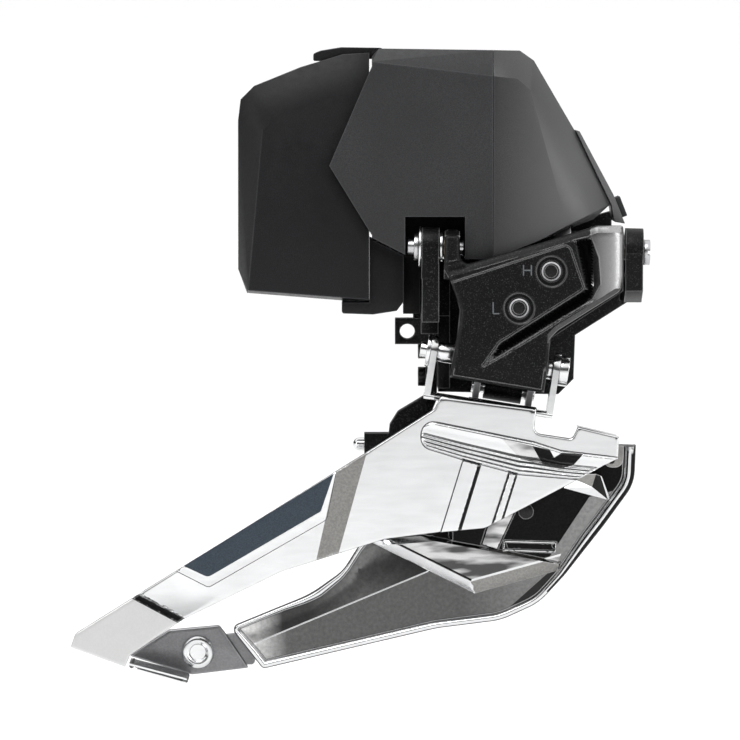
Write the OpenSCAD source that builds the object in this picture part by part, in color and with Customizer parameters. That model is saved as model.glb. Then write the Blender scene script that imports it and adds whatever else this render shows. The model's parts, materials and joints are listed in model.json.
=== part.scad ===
// Electronic front derailleur for a braze-on hanger.
// +X is the bicycle's forward direction, +Z is up and -Y is the outboard (chain) side.
// The origin is the crest of the mounting saddle, on the axis of the threaded hole.

/* [Mount] */
// Tapping diameter of the hanger bolt hole
mount_hole_d = 4.2; // [4:0.1:4.4]
// Diameter of the mounting boss
mount_boss_d = 15; // [13:0.5:17]
// Radius of the convex saddle that seats on the hanger
saddle_r = 18; // [14:1:40]

/* [Linkage] */
// Distance of the upper outer pivot outboard of the mounting face
pivot_y = 29; // [28.5:0.1:29.5]
// Diameter of the pivot pins
pin_d = 3; // [2.6:0.1:3]
// Radial clearance of each pin in its bushing
fit = 0.05; // [0.02:0.01:0.08]

/* [Drive module] */
// Wall thickness of the plastic shells
wall = 1.1; // [0.9:0.1:1.2]
// Module of the gear teeth
tooth_m = 0.6; // [0.59:0.01:0.6]
// Face width of the sector gear
sector_w = 3; // [2:0.2:3.2]

/* [Battery] */
// Thickness of the battery shell
battery_wall = 1; // [0.8:0.1:1.4]
// Depth of the battery from its outer face to its back
battery_depth = 19.6; // [18:0.2:20.6]

/* [Cage] */
// Thickness of the steel cage plates
plate_t = 1.2; // [0.8:0.1:1.4]
// Clear width between the plates, where the chain runs
chain_gap = 10; // [9:0.25:11]
// Height of the embossed rib on the outer plate
rib_h = 0.8; // [0.4:0.1:1.2]

/* [Hidden] */
$fn = 48;

// Upper outer pivot axis: it falls slightly towards the front
upper_at = [4.8, -pivot_y, 19.25];
upper_tilt = 1.43;
// Lower outer pivot axis: it falls more steeply, which turns the cage as it travels
lower_at = [-2, -pivot_y, -2.1];
lower_tilt = 8.93;
// The inner link stands this far inboard and this far below the outer link
link_step = [0, 12, -5.87];
inner_upper_at = upper_at + link_step;
inner_lower_at = lower_at + link_step;

// Gear train, seen along the pivot axis from the rear; angles run from +Y towards +Z
sector_teeth = 30;
small_teeth = 10;
idler_teeth = 14;
mesh_angle = 40;
motor_angle = 70;
sector_to_idler = tooth_m * (sector_teeth + small_teeth) / 2;
idler_to_motor = tooth_m * (idler_teeth + small_teeth) / 2;
idler_c = sector_to_idler * [cos(mesh_angle), sin(mesh_angle)];
motor_c = idler_c + idler_to_motor * [cos(motor_angle), sin(motor_angle)];
idler_shaft_d = 1.6;
sector_x0 = 4.8;

// Module depth positions
cover_front_y = -31;
split_y = -18.1;
seal_t = 0.4;
module_back_y = -6;
battery_front_y = -29.4;
battery_back_y = battery_front_y + battery_depth;
latch_at = [-24.2, -19, 56.8];
latch_pin_d = 1.2;

// Cage depth positions
outer_plate_y = -32;
inner_plate_y = outer_plate_y + chain_gap;

black = "#1b1b1d";
charcoal = "#26272a";
steel = "#c9ccd0";
satin = "#77797c";

// Prism of an outline drawn in the XZ plane, from y0 to y1
module side_plate(points, y0, y1) {
  translate([0, y1, 0]) rotate([90, 0, 0]) linear_extrude(y1 - y0) polygon(points);
}

// Prism of an outline drawn in the YZ plane, from x0 to x1
module end_plate(points, x0, x1) {
  translate([x0, 0, 0]) rotate([90, 0, 90]) linear_extrude(x1 - x0) polygon(points);
}

module block(a, b) {
  translate(a) cube(b - a);
}

module rod_x(x0, x1, d) {
  translate([x0, 0, 0]) rotate([0, 90, 0]) cylinder(h = x1 - x0, d = d);
}

module rod_y(at, y0, y1, d) {
  translate([at[0], y1, at[1]]) rotate([90, 0, 0]) cylinder(h = y1 - y0, d = d);
}

module ring_x(x0, x1, outer_d, inner_d) {
  difference() {
    rod_x(x0, x1, outer_d);
    rod_x(x0 - 1, x1 + 1, inner_d);
  }
}

module on_upper() {
  translate(upper_at) rotate([0, upper_tilt, 0]) children();
}

module on_lower() {
  translate(lower_at) rotate([0, lower_tilt, 0]) children();
}

module on_inner_upper() {
  translate(inner_upper_at) rotate([0, upper_tilt, 0]) children();
}

module on_inner_lower() {
  translate(inner_lower_at) rotate([0, lower_tilt, 0]) children();
}

module in_train(centre) {
  on_upper() translate([0, centre[0], centre[1]]) children();
}

// ---------- knuckle: the fixed body ----------

ear_bore_d = pin_d + 0.04;
module_screw_x = [-6.4, 1.2];
module_screw_z = 21.2;
bracket_screw_z = [-6.2, -0.8];

module ear_profile(x0, x1, r, foot) {
  on_upper() {
    rod_x(x0, x1, 2 * r);
    end_plate([[-r, 0], [-r, foot], [r, foot], [r, 0]], x0, x1);
  }
}

module knuckle() {
  color(black) difference() {
    union() {
      side_plate([[-12.6, -9.3], [-12.6, 16.7], [26.4, 16.7], [26.4, 11], [24.4, 8.2], [14.3, 1.8],
                  [14, -6.8], [11, -9.8], [8.6, -9.8]], -8, -4);
      side_plate([[-9, 16], [-9, 24], [14, 24], [21.5, 26.2], [21.5, 16]], -5.9, -4);
      mount_boss();
      left_side();
      right_side();
      for (x = [-14.4, 3.9]) inner_link_lug(x, x + 2.8);
      setup_tab();
    }
    on_upper() rod_x(-25, -16.5, ear_bore_d);
    on_upper() rod_x(17, 24, ear_bore_d);
    on_inner_upper() rod_x(-15, 7.2, ear_bore_d);
    rod_y([0, 0], -9, 1, mount_hole_d);
    rod_y([-18.7, 2.9], -17, -12, 2.9);
    for (x = module_screw_x) rod_y([x, module_screw_z], -7, -3, 2.6);
    for (z = bracket_screw_z) translate([0, bracket_y, z]) rod_x(-13, -10, 2.1);
  }
}

module mount_boss() {
  intersection() {
    rod_y([0, 0], -8, 0.5, mount_boss_d);
    translate([0, -saddle_r, -10]) cylinder(h = 20, r = saddle_r, $fn = 96);
  }
}

module left_side() {
  block([-16, -32.8, 9.6], [-12.7, -4, 16.7]);
  ear_profile(-20.8, -17.5, 3.8, -6);
  block([-16, -32.8, 5.4], [-12.7, -16, 12]);
  block([-16, -18, 2.5], [-12.7, -8.2, 12]);
  block([-17.5, -8.4, 5], [-12.7, -4, 16.7]);
  block([-13, -9, 9.6], [-10.4, -4, 16.7]);
  block([-13, -18, 6], [-10.4, -8, 16.7]);
  side_plate([[-12.8, -8.2], [-12.8, 12], [-10.4, 12], [-10.4, -8.2]], -16.6, -8);
}

module right_side() {
  on_upper() rod_x(18.25, 21.7, 9.2);
  end_plate([[-4, 8.6], [-4, 16.7], [-12, 20], [-24.5, 20], [-24.5, 14], [-33.6, 18.6], [-33.2, 11.4],
             [-27, 9]], 23, 26.4);
}

module inner_link_lug(x0, x1) {
  on_inner_upper() {
    rod_x(x0, x1, 5.6);
    end_plate([[0, -2.8], [0, 2.8], [10, 2.8], [10, -2.8]], x0, x1);
  }
}

// Small square tab with a plain hole, where the setup gauge is fastened
module setup_tab() {
  side_plate([[-21.1, 0.4], [-21.1, 5.5], [-16, 5.5], [-12, 7.4], [-12, -2.7], [-15, 0.4]], -16, -13);
}

// ---------- support bracket and screw ----------

support_screw_z = -19.5;
bracket_y = -10.1;

module support_bracket() {
  color(charcoal) difference() {
    side_plate([[-12.85, 1.3], [-15, 1.3], [-15, -9.7], [-17, -10.9], [-20.5, -13], [-22.1, -15.5],
                [-22.3, -17.2], [-27.1, -17.2], [-27.1, -21.8], [-20.4, -21.8], [-15.3, -16.5],
                [-12.85, -10.5]], -12.2, -8.05);
    for (z = bracket_screw_z) translate([0, bracket_y, z]) rod_x(-16, -12, 2.1);
    translate([0, bracket_y, support_screw_z]) rod_x(-28, -19, 2.7);
  }
}

module bracket_screws() {
  color(steel) for (z = bracket_screw_z) translate([0, bracket_y, z]) difference() {
    union() {
      rod_x(-15.01, -10.5, 2.04);
      rod_x(-16.6, -15, 3.8);
    }
    translate([-17, 0, 0]) rotate([0, 90, 0]) cylinder(h = 1.4, d = 2, $fn = 6);
  }
}

module support_screw() {
  color(steel) difference() {
    translate([0, bracket_y, support_screw_z]) {
      rod_x(-28, -19.6, 2.6);
      translate([-28, 0, 0]) sphere(d = 2.6);
    }
    translate([-20.9, bracket_y, support_screw_z]) rotate([0, 90, 0]) cylinder(h = 2, d = 1.5, $fn = 6);
  }
}

// ---------- fixed pins ----------

module upper_pins() {
  color(steel) on_upper() {
    difference() {
      union() {
        rod_x(-23.5, -12.75, pin_d);
        rod_x(-22.3, -21.5, 5.2);
      }
      rod_x(-24, -22.8, 1.4);
    }
    difference() {
      union() {
        rod_x(8.7, 23.1, pin_d);
        rod_x(21.75, 23.1, 4.9);
      }
      block([22.6, -3, -0.35], [24, 3, 0.35]);
    }
  }
}

module upper_washers() {
  color(steel) on_upper() {
    ring_x(-21.4, -20.95, 8, ear_bore_d);
    ring_x(-17.4, -16.75, 6, ear_bore_d);
  }
}

module inner_link_pin() {
  color(steel) on_inner_upper() rod_x(-14.6, 6.9, pin_d);
}

// ---------- drive module shells ----------

shell_outline = [[-24.2, 57.9], [-2.35, 57.6], [-2.35, 17.5], [-7.7, 17.5], [-7.7, 25.6], [-19.2, 25.6],
                 [-19.2, 18.3], [-25.6, 21.6], [-25.6, 56.4]];
shell_cavity = [[-25.6 + wall, 22.6], [-25.6 + wall, 54.2], [-21.5, 54.2], [-21.5, 57.6 - wall],
                [-1, 57.6 - wall], [-1, 17.5 + wall], [-7.7 + wall, 17.5 + wall],
                [-7.7 + wall, 25.6 + wall], [-20.5, 25.6 + wall], [-20.5, 20.4]];
cap_outline = [[-2.25, 57.6], [2.9, 57.5], [5.6, 55.6], [13.5, 42.1], [20.4, 27.9], [17.3, 25.1],
               [11.9, 23.7], [6.7, 21.1], [-2.25, 17.6]];
cap_face = [[-2.25, 52.6], [2.3, 52.1], [4.8, 50], [8.3, 36.9], [11.9, 23.9], [6.7, 21.1], [-2.25, 17.6]];
// Room for the latch in the upper rear corner, with its two pin holes
module latch_room() {
  block([-26, -25.3, 55.3], [-22.5, -12.7, 60]);
  rod_y([latch_at[0], latch_at[2]], -26.3, -11.7, latch_pin_d + 0.04);
}

module outer_cover() {
  color(charcoal) difference() {
    union() {
      hull() {
        side_plate(concat([for (p = shell_outline) if (p[1] > 50) p], [[-2.35, 40], [-25.6, 40]]),
                   -26.5, split_y - seal_t / 2);
        side_plate([[-25.6, 55.3], [-2.35, 52.6], [-2.35, 40], [-25.6, 40]], cover_front_y, -26);
      }
      side_plate([[-25.6, 41], [-2.35, 41], [-2.35, 17.5], [-7.7, 17.5], [-7.7, 25.6], [-19.2, 25.6],
                  [-19.2, 18.3], [-25.6, 21.6]], cover_front_y, split_y - seal_t / 2);
      side_plate([[-25.2, 55.4], [-33.8, 35.4], [-25.2, 21.4]], cover_front_y, cover_front_y + 1.2);
    }
    side_plate(shell_cavity, cover_front_y + 6, split_y + 1);
    side_plate([for (p = shell_cavity) [p[0], min(p[1], 51.6)]], cover_front_y + wall + 0.2, split_y);
    latch_room();
  }
}

module inner_housing() {
  color(black) difference() {
    union() {
      side_plate([[-24.2, 57.9], [-2.35, 57.6], [-2.35, 17.5], [-19.2, 17.5], [-19.2, 18.3],
                  [-25.6, 21.6], [-25.6, 56.4]], split_y + seal_t / 2, module_back_y);
      side_plate([[-19.5, 6.4], [-16.2, 6.4], [-16.2, 18], [-19.5, 18]], -17.8, -9);
    }
    side_plate(shell_cavity, split_y - 1, module_back_y - wall);
    latch_room();
    contact_openings();
    for (p = housing_screw_at) rod_y(p, -9.5, -5, 1.8);
    for (x = module_screw_x) rod_y([x, module_screw_z], -8.6, -5, 2.1);
  }
  color(black) for (p = housing_screw_at) screw_boss(p, 3.6, 1.84);
}

housing_screw_at = [[-22, 51], [-22, 25.5], [-5, 53.5]];

module screw_boss(at, d, bore) {
  difference() {
    rod_y(at, -12, module_back_y - wall + 0.01, d);
    rod_y(at, -9.5, -5, bore);
  }
}

module front_end_cap() {
  color(black) difference() {
    hull() {
      side_plate(cap_outline, -26, module_back_y);
      side_plate(cap_face, cover_front_y, -26);
    }
    hull() {
      side_plate(cap_room(cap_outline), -26 + wall, module_back_y - wall);
      side_plate(cap_room(cap_face), cover_front_y + wall, -26 + wall);
    }
    gear_slot();
    in_train(idler_c) rod_x(-1.1, 1.7, 10.4);
    rod_y([module_screw_x[1], module_screw_z], -8.6, -5, 2.1);
  }
}

// Outline of the room inside the cap: every side but the open rear one is drawn in by the wall
function cap_room(points) =
  let (mid = [6, 37])
  [for (p = points) p[0] < -2 ? [-3, p[1] + (p[1] > mid[1] ? -wall : wall + 0.4)]
                              : p + 1.5 * wall * (mid - p) / norm(mid - p)];

// The sector gear swings up through this slot in the cap's underside
module gear_slot() {
  block([upper_at[0] + sector_x0 - 0.6, -29.2, 18], [upper_at[0] + sector_x0 + sector_w + 0.5, -16, 25.6]);
}

module housing_seal() {
  color("#0e0e0e") difference() {
    side_plate(shell_outline, split_y - seal_t / 2, split_y + seal_t / 2);
    side_plate(shell_cavity, split_y - 1, split_y + 1);
    latch_room();
  }
}

module cap_screw(at, y0, y1, d, head_d, head_h, socket_d) {
  difference() {
    union() {
      rod_y(at, y0, y1 + 0.01, d);
      rod_y(at, y1, y1 + head_h, head_d);
    }
    translate([at[0], y1 + head_h + 0.01, at[1]]) rotate([90, 0, 0])
      cylinder(h = head_h * 0.6, d = socket_d, $fn = 6);
  }
}

module housing_screws() {
  color(steel) for (p = housing_screw_at) cap_screw(p, -9.3, module_back_y, 1.76, 3.2, 1.2, 1.6);
}

module module_screws() {
  color(steel) for (x = module_screw_x)
    cap_screw([x, module_screw_z], -8.4, -4, 2.04, 4, 1.5, 2);
}

module battery_foot() {
  color(charcoal) side_plate([[-31.4, 6.9], [-25.4, 6.7], [-20.8, 7.4], [-19.7, 9], [-19.7, 18.2],
                              [-26, 21.3], [-26, 9], [-31.4, 9]], -28, -12);
}

// ---------- button panel ----------

panel_tilt = -21.4;
button_y = -18.5;

module on_panel() {
  translate([22.1, button_y, 27.1]) rotate([0, panel_tilt, 0]) children();
}

module button_panel() {
  color(charcoal) difference() {
    side_plate([[13.65, 42.2], [14.4, 42], [20.9, 29.9], [23.2, 24.2], [21.2, 24.5], [20.6, 27.8]], -27, -10);
    on_panel() block([-0.75, -4.2, -2.2], [3, 4.2, 2.2]);
    led_bore(2.04);
  }
}

module led_bore(d) {
  translate([17.2, button_y, 35.9]) rotate([0, 64, 0]) translate([0, 0, -2]) cylinder(h = 5, d = d);
}

module led_lens() {
  color("#dfe6e2") intersection() {
    led_bore(2);
    side_plate([[13.65, 42.2], [14.4, 42], [20.9, 29.9], [20.6, 27.8]], -27, -10);
  }
}

module function_button() {
  color(black) on_panel() block([-0.2, -4, -2], [1.1, 4, 2]);
}

// ---------- electronics ----------

module circuit_board() {
  color("#1d5a36") {
    block([-23.5, -10, 28.5], [-3.2, -9, 49]);
    block([-16, -11.4, 41], [-9, -10, 48]);
    block([-21, -11, 44], [-18, -10, 47.6]);
    block([-8, -10.9, 31], [-5, -10, 34]);
  }
}

contact_z = [30, 33.5, 37, 40.5];

module contact_openings() {
  for (z = contact_z) translate([0, -15, z]) rod_x(-27, -20, 1.64);
}

module contact_block() {
  color("#2b2b2b") difference() {
    block([-25.6 + wall + 0.02, -16.5, 28.4], [-22.5, -13.3, 42]);
    for (z = contact_z) translate([0, -15, z]) rod_x(-27, -20, 1.64);
  }
}

module contact_pins() {
  color("#d4af37") for (z = contact_z) translate([0, -15, z]) rod_x(-26.4, -22.3, 1.6);
}

// ---------- motor and gears ----------

motor_d = 12;

module motor() {
  color(steel) in_train(motor_c) {
    rod_x(-26, -11.6, motor_d);
    rod_x(-27, -26, 4);
  }
}

module gearhead() {
  color("#8f9296") in_train(motor_c) difference() {
    rod_x(-11.58, -2.8, motor_d - 0.6);
    rod_x(-6, -2, 2.1);
  }
}

module gear_plate() {
  color(satin) difference() {
    in_train([0, 0]) end_plate([[1.5, 3.6], [1.5, 20], [15, 20], [15, 3.6]], -2.75, -1.6);
    in_train(motor_c) rod_x(-4, 0, 4);
    in_train(idler_c) rod_x(-4, 0, idler_shaft_d + 0.04);
  }
}

module gear_end_plate() {
  color(satin) difference() {
    in_train([0, 0]) end_plate([[4, 7.6], [4, 13], [14, 13], [14, 7.6]], 9, 10);
    in_train(idler_c) rod_x(8, 11, idler_shaft_d + 0.04);
  }
}

module idler_shaft() {
  color(steel) in_train(idler_c) rod_x(-2.7, 9.9, idler_shaft_d);
}

function polar(r, a) = r * [cos(a), sin(a)];

// Outline of a gear with straight-flanked teeth and generous backlash; a tooth is centred on angle start
function gear_points(teeth, start) =
  let (pitch = 360 / teeth, r = tooth_m * teeth / 2, tip = r + 0.75 * tooth_m, root = r - 1.1 * tooth_m)
  [for (i = [0 : teeth - 1]) let (a = start + i * pitch)
    each [polar(root, a - 0.30 * pitch), polar(tip, a - 0.11 * pitch), polar(tip, a + 0.11 * pitch),
          polar(root, a + 0.30 * pitch)]];

module gear(teeth, start, x0, x1) {
  end_plate(gear_points(teeth, start), x0, x1);
}

module drive_pinion() {
  color(steel) in_train(motor_c) {
    gear(small_teeth, motor_angle + 180 + 18, -1, 1.6);
    rod_x(-5.8, -0.9, 2);
  }
}

module idler_gear() {
  color("#d8cfa8") in_train(idler_c) difference() {
    union() {
      gear(idler_teeth, motor_angle, -0.8, 1.4);
      rod_x(1.39, sector_x0 - 0.2, 3.2);
      gear(small_teeth, mesh_angle + 180 + 18, sector_x0 - 0.2, sector_x0 + sector_w + 0.2);
    }
    rod_x(-2, 12, idler_shaft_d + 2 * fit);
  }
}

module sector_gear() {
  color(satin) on_upper() intersection() {
    gear(sector_teeth, mesh_angle, sector_x0, sector_x0 + sector_w);
    end_plate([[0, 0], polar(14, mesh_angle - 30), polar(14, mesh_angle), polar(14, mesh_angle + 30)],
              sector_x0, sector_x0 + sector_w);
  }
}

// ---------- battery latch ----------

module latch_lever() {
  color(charcoal) difference() {
    union() {
      side_plate([[-36.9, 55.8], [-36.9, 56.9], [-35.5, 57.5], [-31.5, 58.15], [-24.2, 58.05],
                  [-24.2, 57.2], [-31.5, 57.3], [-35.3, 56.8], [-36, 56.3], [-36, 55.8]], -24.9, -13.1);
      rod_y([latch_at[0], latch_at[2]], -24.9, -13.1, 2.2);
    }
    rod_y([latch_at[0], latch_at[2]], -26, -12, latch_pin_d + 2 * fit);
    block([-25.8, -20.9, 55], [-22, -17.1, 59]);
  }
}

module latch_pin() {
  color(steel) rod_y([latch_at[0], latch_at[2]], -26.2, -11.8, latch_pin_d);
}

module latch_spring() {
  color(steel) for (i = [0 : 4]) translate([latch_at[0], -20.4 + 0.7 * i, latch_at[2]]) rotate([90, 0, 0])
    rotate_extrude() translate([0.95, 0]) circle(d = 0.4, $fn = 16);
}

// ---------- battery ----------

battery_outline = [[-51.4, 15.4], [-49.7, 10.8], [-31.5, 9.35], [-26.1, 9.35], [-26.1, 57.1], [-31.2, 56.8],
                   [-39.4, 54.3], [-48.3, 50.7], [-50.9, 48.1], [-51.4, 44]];
battery_face = [[-49.4, 11.4], [-46.6, 42.2], [-44, 45], [-34.2, 48.3], [-26.1, 50], [-26.1, 9.6]];
battery_lid_t = 1.4;

module battery_room(y0, y1) {
  b = battery_wall;
  side_plate([[-48.6, 12.6], [-49.6, 16], [-47, 42], [-26.1 - b, 47.2], [-26.1 - b, 11.2]], y0, y1);
}

module battery_case() {
  color(black) difference() {
    hull() {
      side_plate(battery_outline, -26, battery_back_y - battery_lid_t);
      side_plate(battery_face, battery_front_y, -26);
    }
    battery_room(battery_front_y + battery_wall, battery_back_y);
    block([-37.4, -25.4, 55.1], [-26, -12.6, 60]);
    for (z = contact_z) translate([0, -15, z]) rod_x(-27.3, -26, 2.2);
  }
}

module battery_lid() {
  color(black) side_plate(battery_outline, battery_back_y - battery_lid_t + 0.02, battery_back_y);
}

module battery_cells() {
  color("#9fb4c8") for (y = [-27.9, -19.8])
    block([-45.8, y, 13], [-27.6, y + 7.6, 40]);
}

module battery_terminals() {
  color("#d4af37") for (z = contact_z) translate([0, -15, z]) rod_x(-27.05, -26.75, 2.1);
}

// ---------- outer link ----------

screw_high = [8.75, 15.25];
screw_low = [2.6, 8.2];
screw_d = 4;
link_face_y = -36;
link_back_y = -32.8;

module outer_link() {
  color(black) difference() {
    union() {
      side_plate([[-10.2, 13.1], [-7.2, 16.1], [6.9, 20.6], [16.5, 23.5], [20.6, 23.8], [22.7, 23],
                  [22.7, 13], [21.6, 11.2], [10.4, 4], [8.6, 2.1], [8.5, -1.5], [7.5, -6.4],
                  [-10, -3.6], [-9.8, -0.6], [-8.75, 5], [-8.7, 7.7]], link_face_y, link_back_y);
      on_upper() {
        rod_x(sector_x0 + sector_w, 17.95, 9);
        rod_x(-16.45, -13.6, 7);
        end_plate([[-7, -6], [-7, 1.5], [-2, 3.4], [0, 0], [-2, -6]], -16.45, -13.6);
        end_plate([[-6.8, -6], [-6.8, 3], [0, 4], [3, 0], [0, -5]], sector_x0 + sector_w, 17.95);
      }
      link_rails();
      for (p = [screw_high, screw_low]) rod_y(p, link_back_y - 0.2, -28, 7);
    }
    on_upper() rod_x(-17, -13, 4.24);
    on_upper() rod_x(sector_x0 + sector_w + 0.5, 19, 4.24);
    on_lower() rod_x(-9, 12, 4.24);
    for (p = [screw_high, screw_low]) {
      rod_y(p, link_face_y - 1, link_face_y + 1.2, 5.8);
      rod_y(p, link_face_y, -25, screw_d + 0.04);
    }
  }
}

// Lower pivot hub and the two rails that stiffen the face
module link_rails() {
  on_lower() {
    rod_x(-7.8, 10, 8.4);
    end_plate([[-6.9, -3.6], [-6.9, 6], [-2, 6], [4.2, 0], [0, -4.1], [-4, -4.1]], -7.8, 10);
  }
  side_plate([[-9.6, -1], [-8.7, 7.7], [-10.2, 13.1], [-9.2, 15.6], [-6.6, 15.6], [-6.4, -1]], -33, -28.4);
  side_plate([[6.4, -1.5], [8.4, 2.1], [22.6, 11.4], [22.6, 15], [20.6, 15], [6.4, 5]], -33, -29.5);
}

module link_bushings() {
  color("#b08d57") {
    on_upper() {
      ring_x(-16.6, -13.6, 4.2, pin_d + 2 * fit);
      ring_x(sector_x0 + sector_w + 1.4, 18.05, 4.2, pin_d + 2 * fit);
    }
    on_lower() for (x = [-7.8, 7]) ring_x(x, x + 3, 4.2, pin_d + 2 * fit);
  }
}

module limit_screw(at) {
  color("#3a3a3c") difference() {
    rod_y(at, link_face_y + 0.9, -26.4, screw_d);
    translate([at[0], link_face_y + 2.9, at[1]]) rotate([90, 0, 0]) cylinder(h = 2.2, d = 2.5, $fn = 6);
  }
}

module limit_screw_high() {
  limit_screw(screw_high);
}

module limit_screw_low() {
  limit_screw(screw_low);
}

// ---------- inner link ----------

eye_half = 3.7;

module inner_link() {
  color(black) difference() {
    union() {
      on_inner_upper() rod_x(-11.3, 3.6, 5.6);
      on_inner_lower() rod_x(2 - eye_half, 2 + eye_half, 4.8);
      side_plate([[-6.2, 13.6], [7.8, 13.4], [5.4, -3], [3.4, -8.6], [-3.2, -7.6], [-3.8, -3]], -18.6, -15.4);
    }
    on_inner_upper() rod_x(-12, 4.5, 4.24);
    on_inner_lower() rod_x(-4, 8, pin_d + 0.5);
    side_plate([[-2.6, 9.6], [4.2, 9.4], [3, -1], [-1.4, -1]], -20, -14);
  }
}

module inner_link_bushings() {
  color("#b08d57") on_inner_upper() for (x = [-11.4, 0.7]) ring_x(x, x + 3, 4.2, pin_d + 2 * fit);
}

// ---------- cage ----------

outer_outline = [[-12.3, -9], [6.1, -11.5], [5.8, -14.6], [6.9, -15.8], [12.3, -16.8], [13.8, -14.7],
                 [21.7, -16.7], [21.4, -20.8], [16.5, -23.1], [4, -30.2], [-3.8, -34], [-6.5, -34.8],
                 [-12.9, -35], [-23.1, -36.3], [-36.5, -40.4], [-50, -45.4], [-61.7, -51.7], [-72.1, -58.7],
                 [-73.1, -61], [-83.7, -57.2], [-82.7, -54.6], [-72.5, -47.7], [-32.5, -23.5], [-14, -11.7]];
inner_outline = [[-53.4, -54.9], [-49.8, -52.2], [-39.5, -48.9], [-33.4, -46], [-29.8, -41.3],
                 [-24, -31.8], [-13.9, -19.6], [-7.8, -11.5], [-6.4, -8.8], [5.6, -10.8], [6, -17.6],
                 [14.4, -18], [23.7, -18.4], [25.7, -18.7], [25.3, -26.1], [23.8, -28.8],
                 [13.9, -40.1], [7.8, -47.9], [2, -51.4], [-4.4, -53.4], [-17.8, -54.8],
                 [-29.8, -58.2], [-46.9, -62.7]];
cage_lugs = [[-12.4, -11.2], [11.4, 12.6]];
link_lugs = [[-3.8, -2.6], [6.6, 7.8]];

module cage_outer_plate() {
  color(steel) difference() {
    union() {
      side_plate(outer_outline, outer_plate_y - plate_t, outer_plate_y);
      emboss();
      on_lower() {
        block([-10.4, -3.01, -9.3], [8.2, 7 + chain_gap - 10, -8.2]);
        block([-12.4, -3.01, -9.3], [12.6, 3, -8.2]);
        for (x = cage_lugs) {
          rod_x(x[0], x[1], 6.8);
          end_plate([[-3.01, -9.3], [-3.4, 0], [3.4, 0], [3, -9.3]], x[0], x[1]);
        }
      }
    }
    on_lower() rod_x(-14, 14, ear_bore_d);
    rod_y([-77, -57.2], -34, -31, 1.6);
  }
}

// Long embossed rib with round ends, and the short ribs below it
module emboss() {
  y0 = outer_plate_y - plate_t - rib_h;
  y1 = outer_plate_y - plate_t + 0.01;
  rod_y([-14, -16.7], y0, y1, 5.2);
  side_plate([[-14, -14.1], [-5.4, -15], [5.6, -17.5], [10.4, -19.6], [16, -23], [0.6, -23.8],
              [-4.2, -22.7], [-8, -21.2], [-14, -19.3]], y0, y1);
  side_plate([[-8.4, -21.6], [-4.6, -22.8], [-8.6, -34.6], [-12.4, -34.8]], y0, y1);
}

module cage_panel() {
  color("#39404a") side_plate([[-33.4, -25.2], [-60.4, -41.2], [-57.1, -43.2], [-37, -32]],
                              outer_plate_y - plate_t - 0.5, outer_plate_y - plate_t);
}

module cage_inner_plate() {
  color(satin) difference() {
    union() {
      side_plate(inner_outline, inner_plate_y, inner_plate_y + plate_t);
      inner_rim();
      for (x = link_lugs) on_inner_lower() {
        rod_x(x[0], x[1], 4.6);
        end_plate([[0, -2.3], [0, 2.3], [-3.9 - (10 - chain_gap), 2.3], [-3.9 - (10 - chain_gap), -4],
                   [-2.4, -4]], x[0], x[1]);
      }
      side_plate([[-63, -62], [-63.4, -57], [-48.3, -55.2], [-48.3, -61.8]], inner_plate_y + plate_t,
                 inner_plate_y + 2 * plate_t);
    }
    on_inner_lower() rod_x(-5, 9, ear_bore_d);
    rod_y(tail_rivet_at, inner_plate_y - 1, inner_plate_y + 4, 2.64);
    rod_y(ramp_rivet_at, inner_plate_y - 1, inner_plate_y + 4, 1.64);
    for (p = bridge_rivet_at) rod_y(p, inner_plate_y - 1, inner_plate_y + 4, 1.64);
  }
}

// Rolled rim along the lower edge, standing out towards the chain
module inner_rim() {
  lower = [for (i = [15 : 22]) inner_outline[i]];
  band = concat(lower, [for (i = [7 : -1 : 0]) lower[i] + [-0.25, 1.6]]);
  side_plate(band, inner_plate_y - 1.2, inner_plate_y + 0.01);
}

bridge_rivet_at = [[16.4, -20.4], [20.8, -21.8]];
tail_rivet_at = [-59.4, -59.2];
ramp_rivet_at = [4.3, -31.8];

module cage_front_bridge() {
  color(steel) difference() {
    union() {
      side_plate([[13.9, -14.9], [21.6, -16.8], [21.4, -18], [13.9, -16.1]], outer_plate_y + 0.02,
                 inner_plate_y - 0.02);
      side_plate([[13.9, -14.9], [21.6, -16.8], [21.4, -20.6], [14.4, -21.4]], outer_plate_y + 0.02,
                 outer_plate_y + 1.02);
      side_plate([[13.9, -14.9], [21.6, -16.8], [23, -21.6], [21.6, -23.8], [19.6, -23.8], [14.4, -22.4]],
                 inner_plate_y - 1.02, inner_plate_y - 0.02);
    }
    for (p = bridge_rivet_at) rod_y(p, -40, -18, 1.64);
  }
}

module bridge_rivets() {
  color(steel) for (p = bridge_rivet_at) {
    rod_y(p, inner_plate_y - 1.1, inner_plate_y + plate_t, 1.6);
    rod_y(p, inner_plate_y + plate_t + 0.01, inner_plate_y + plate_t + 0.7, 3);
    rod_y(p, inner_plate_y + plate_t - 0.1, inner_plate_y + plate_t + 0.1, 1.6);
  }
}

module tail_bracket() {
  color(satin) difference() {
    union() {
      side_plate([[-65, -54.9], [-55.4, -54.1], [-54.7, -55.1], [-49.7, -62.2], [-60.6, -63.7], [-73, -60]],
                 inner_plate_y, inner_plate_y + plate_t - 0.02);
      side_plate([[-72.9, -60.5], [-61.4, -64.4], [-60.2, -63.4], [-72.6, -59.7]], outer_plate_y + 0.02,
                 inner_plate_y + 1);
    }
    rod_y(tail_rivet_at, inner_plate_y - 1, inner_plate_y + 4, 2.64);
  }
}

module tail_rivet() {
  color(steel) {
    rod_y(tail_rivet_at, inner_plate_y - 1, inner_plate_y + 2 * plate_t + 0.8, 2.6);
    rod_y(tail_rivet_at, inner_plate_y - 1, inner_plate_y - 0.02, 6.2);
    rod_y(tail_rivet_at, inner_plate_y + 2 * plate_t + 0.02, inner_plate_y + 2 * plate_t + 0.8, 4.6);
  }
}

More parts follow.
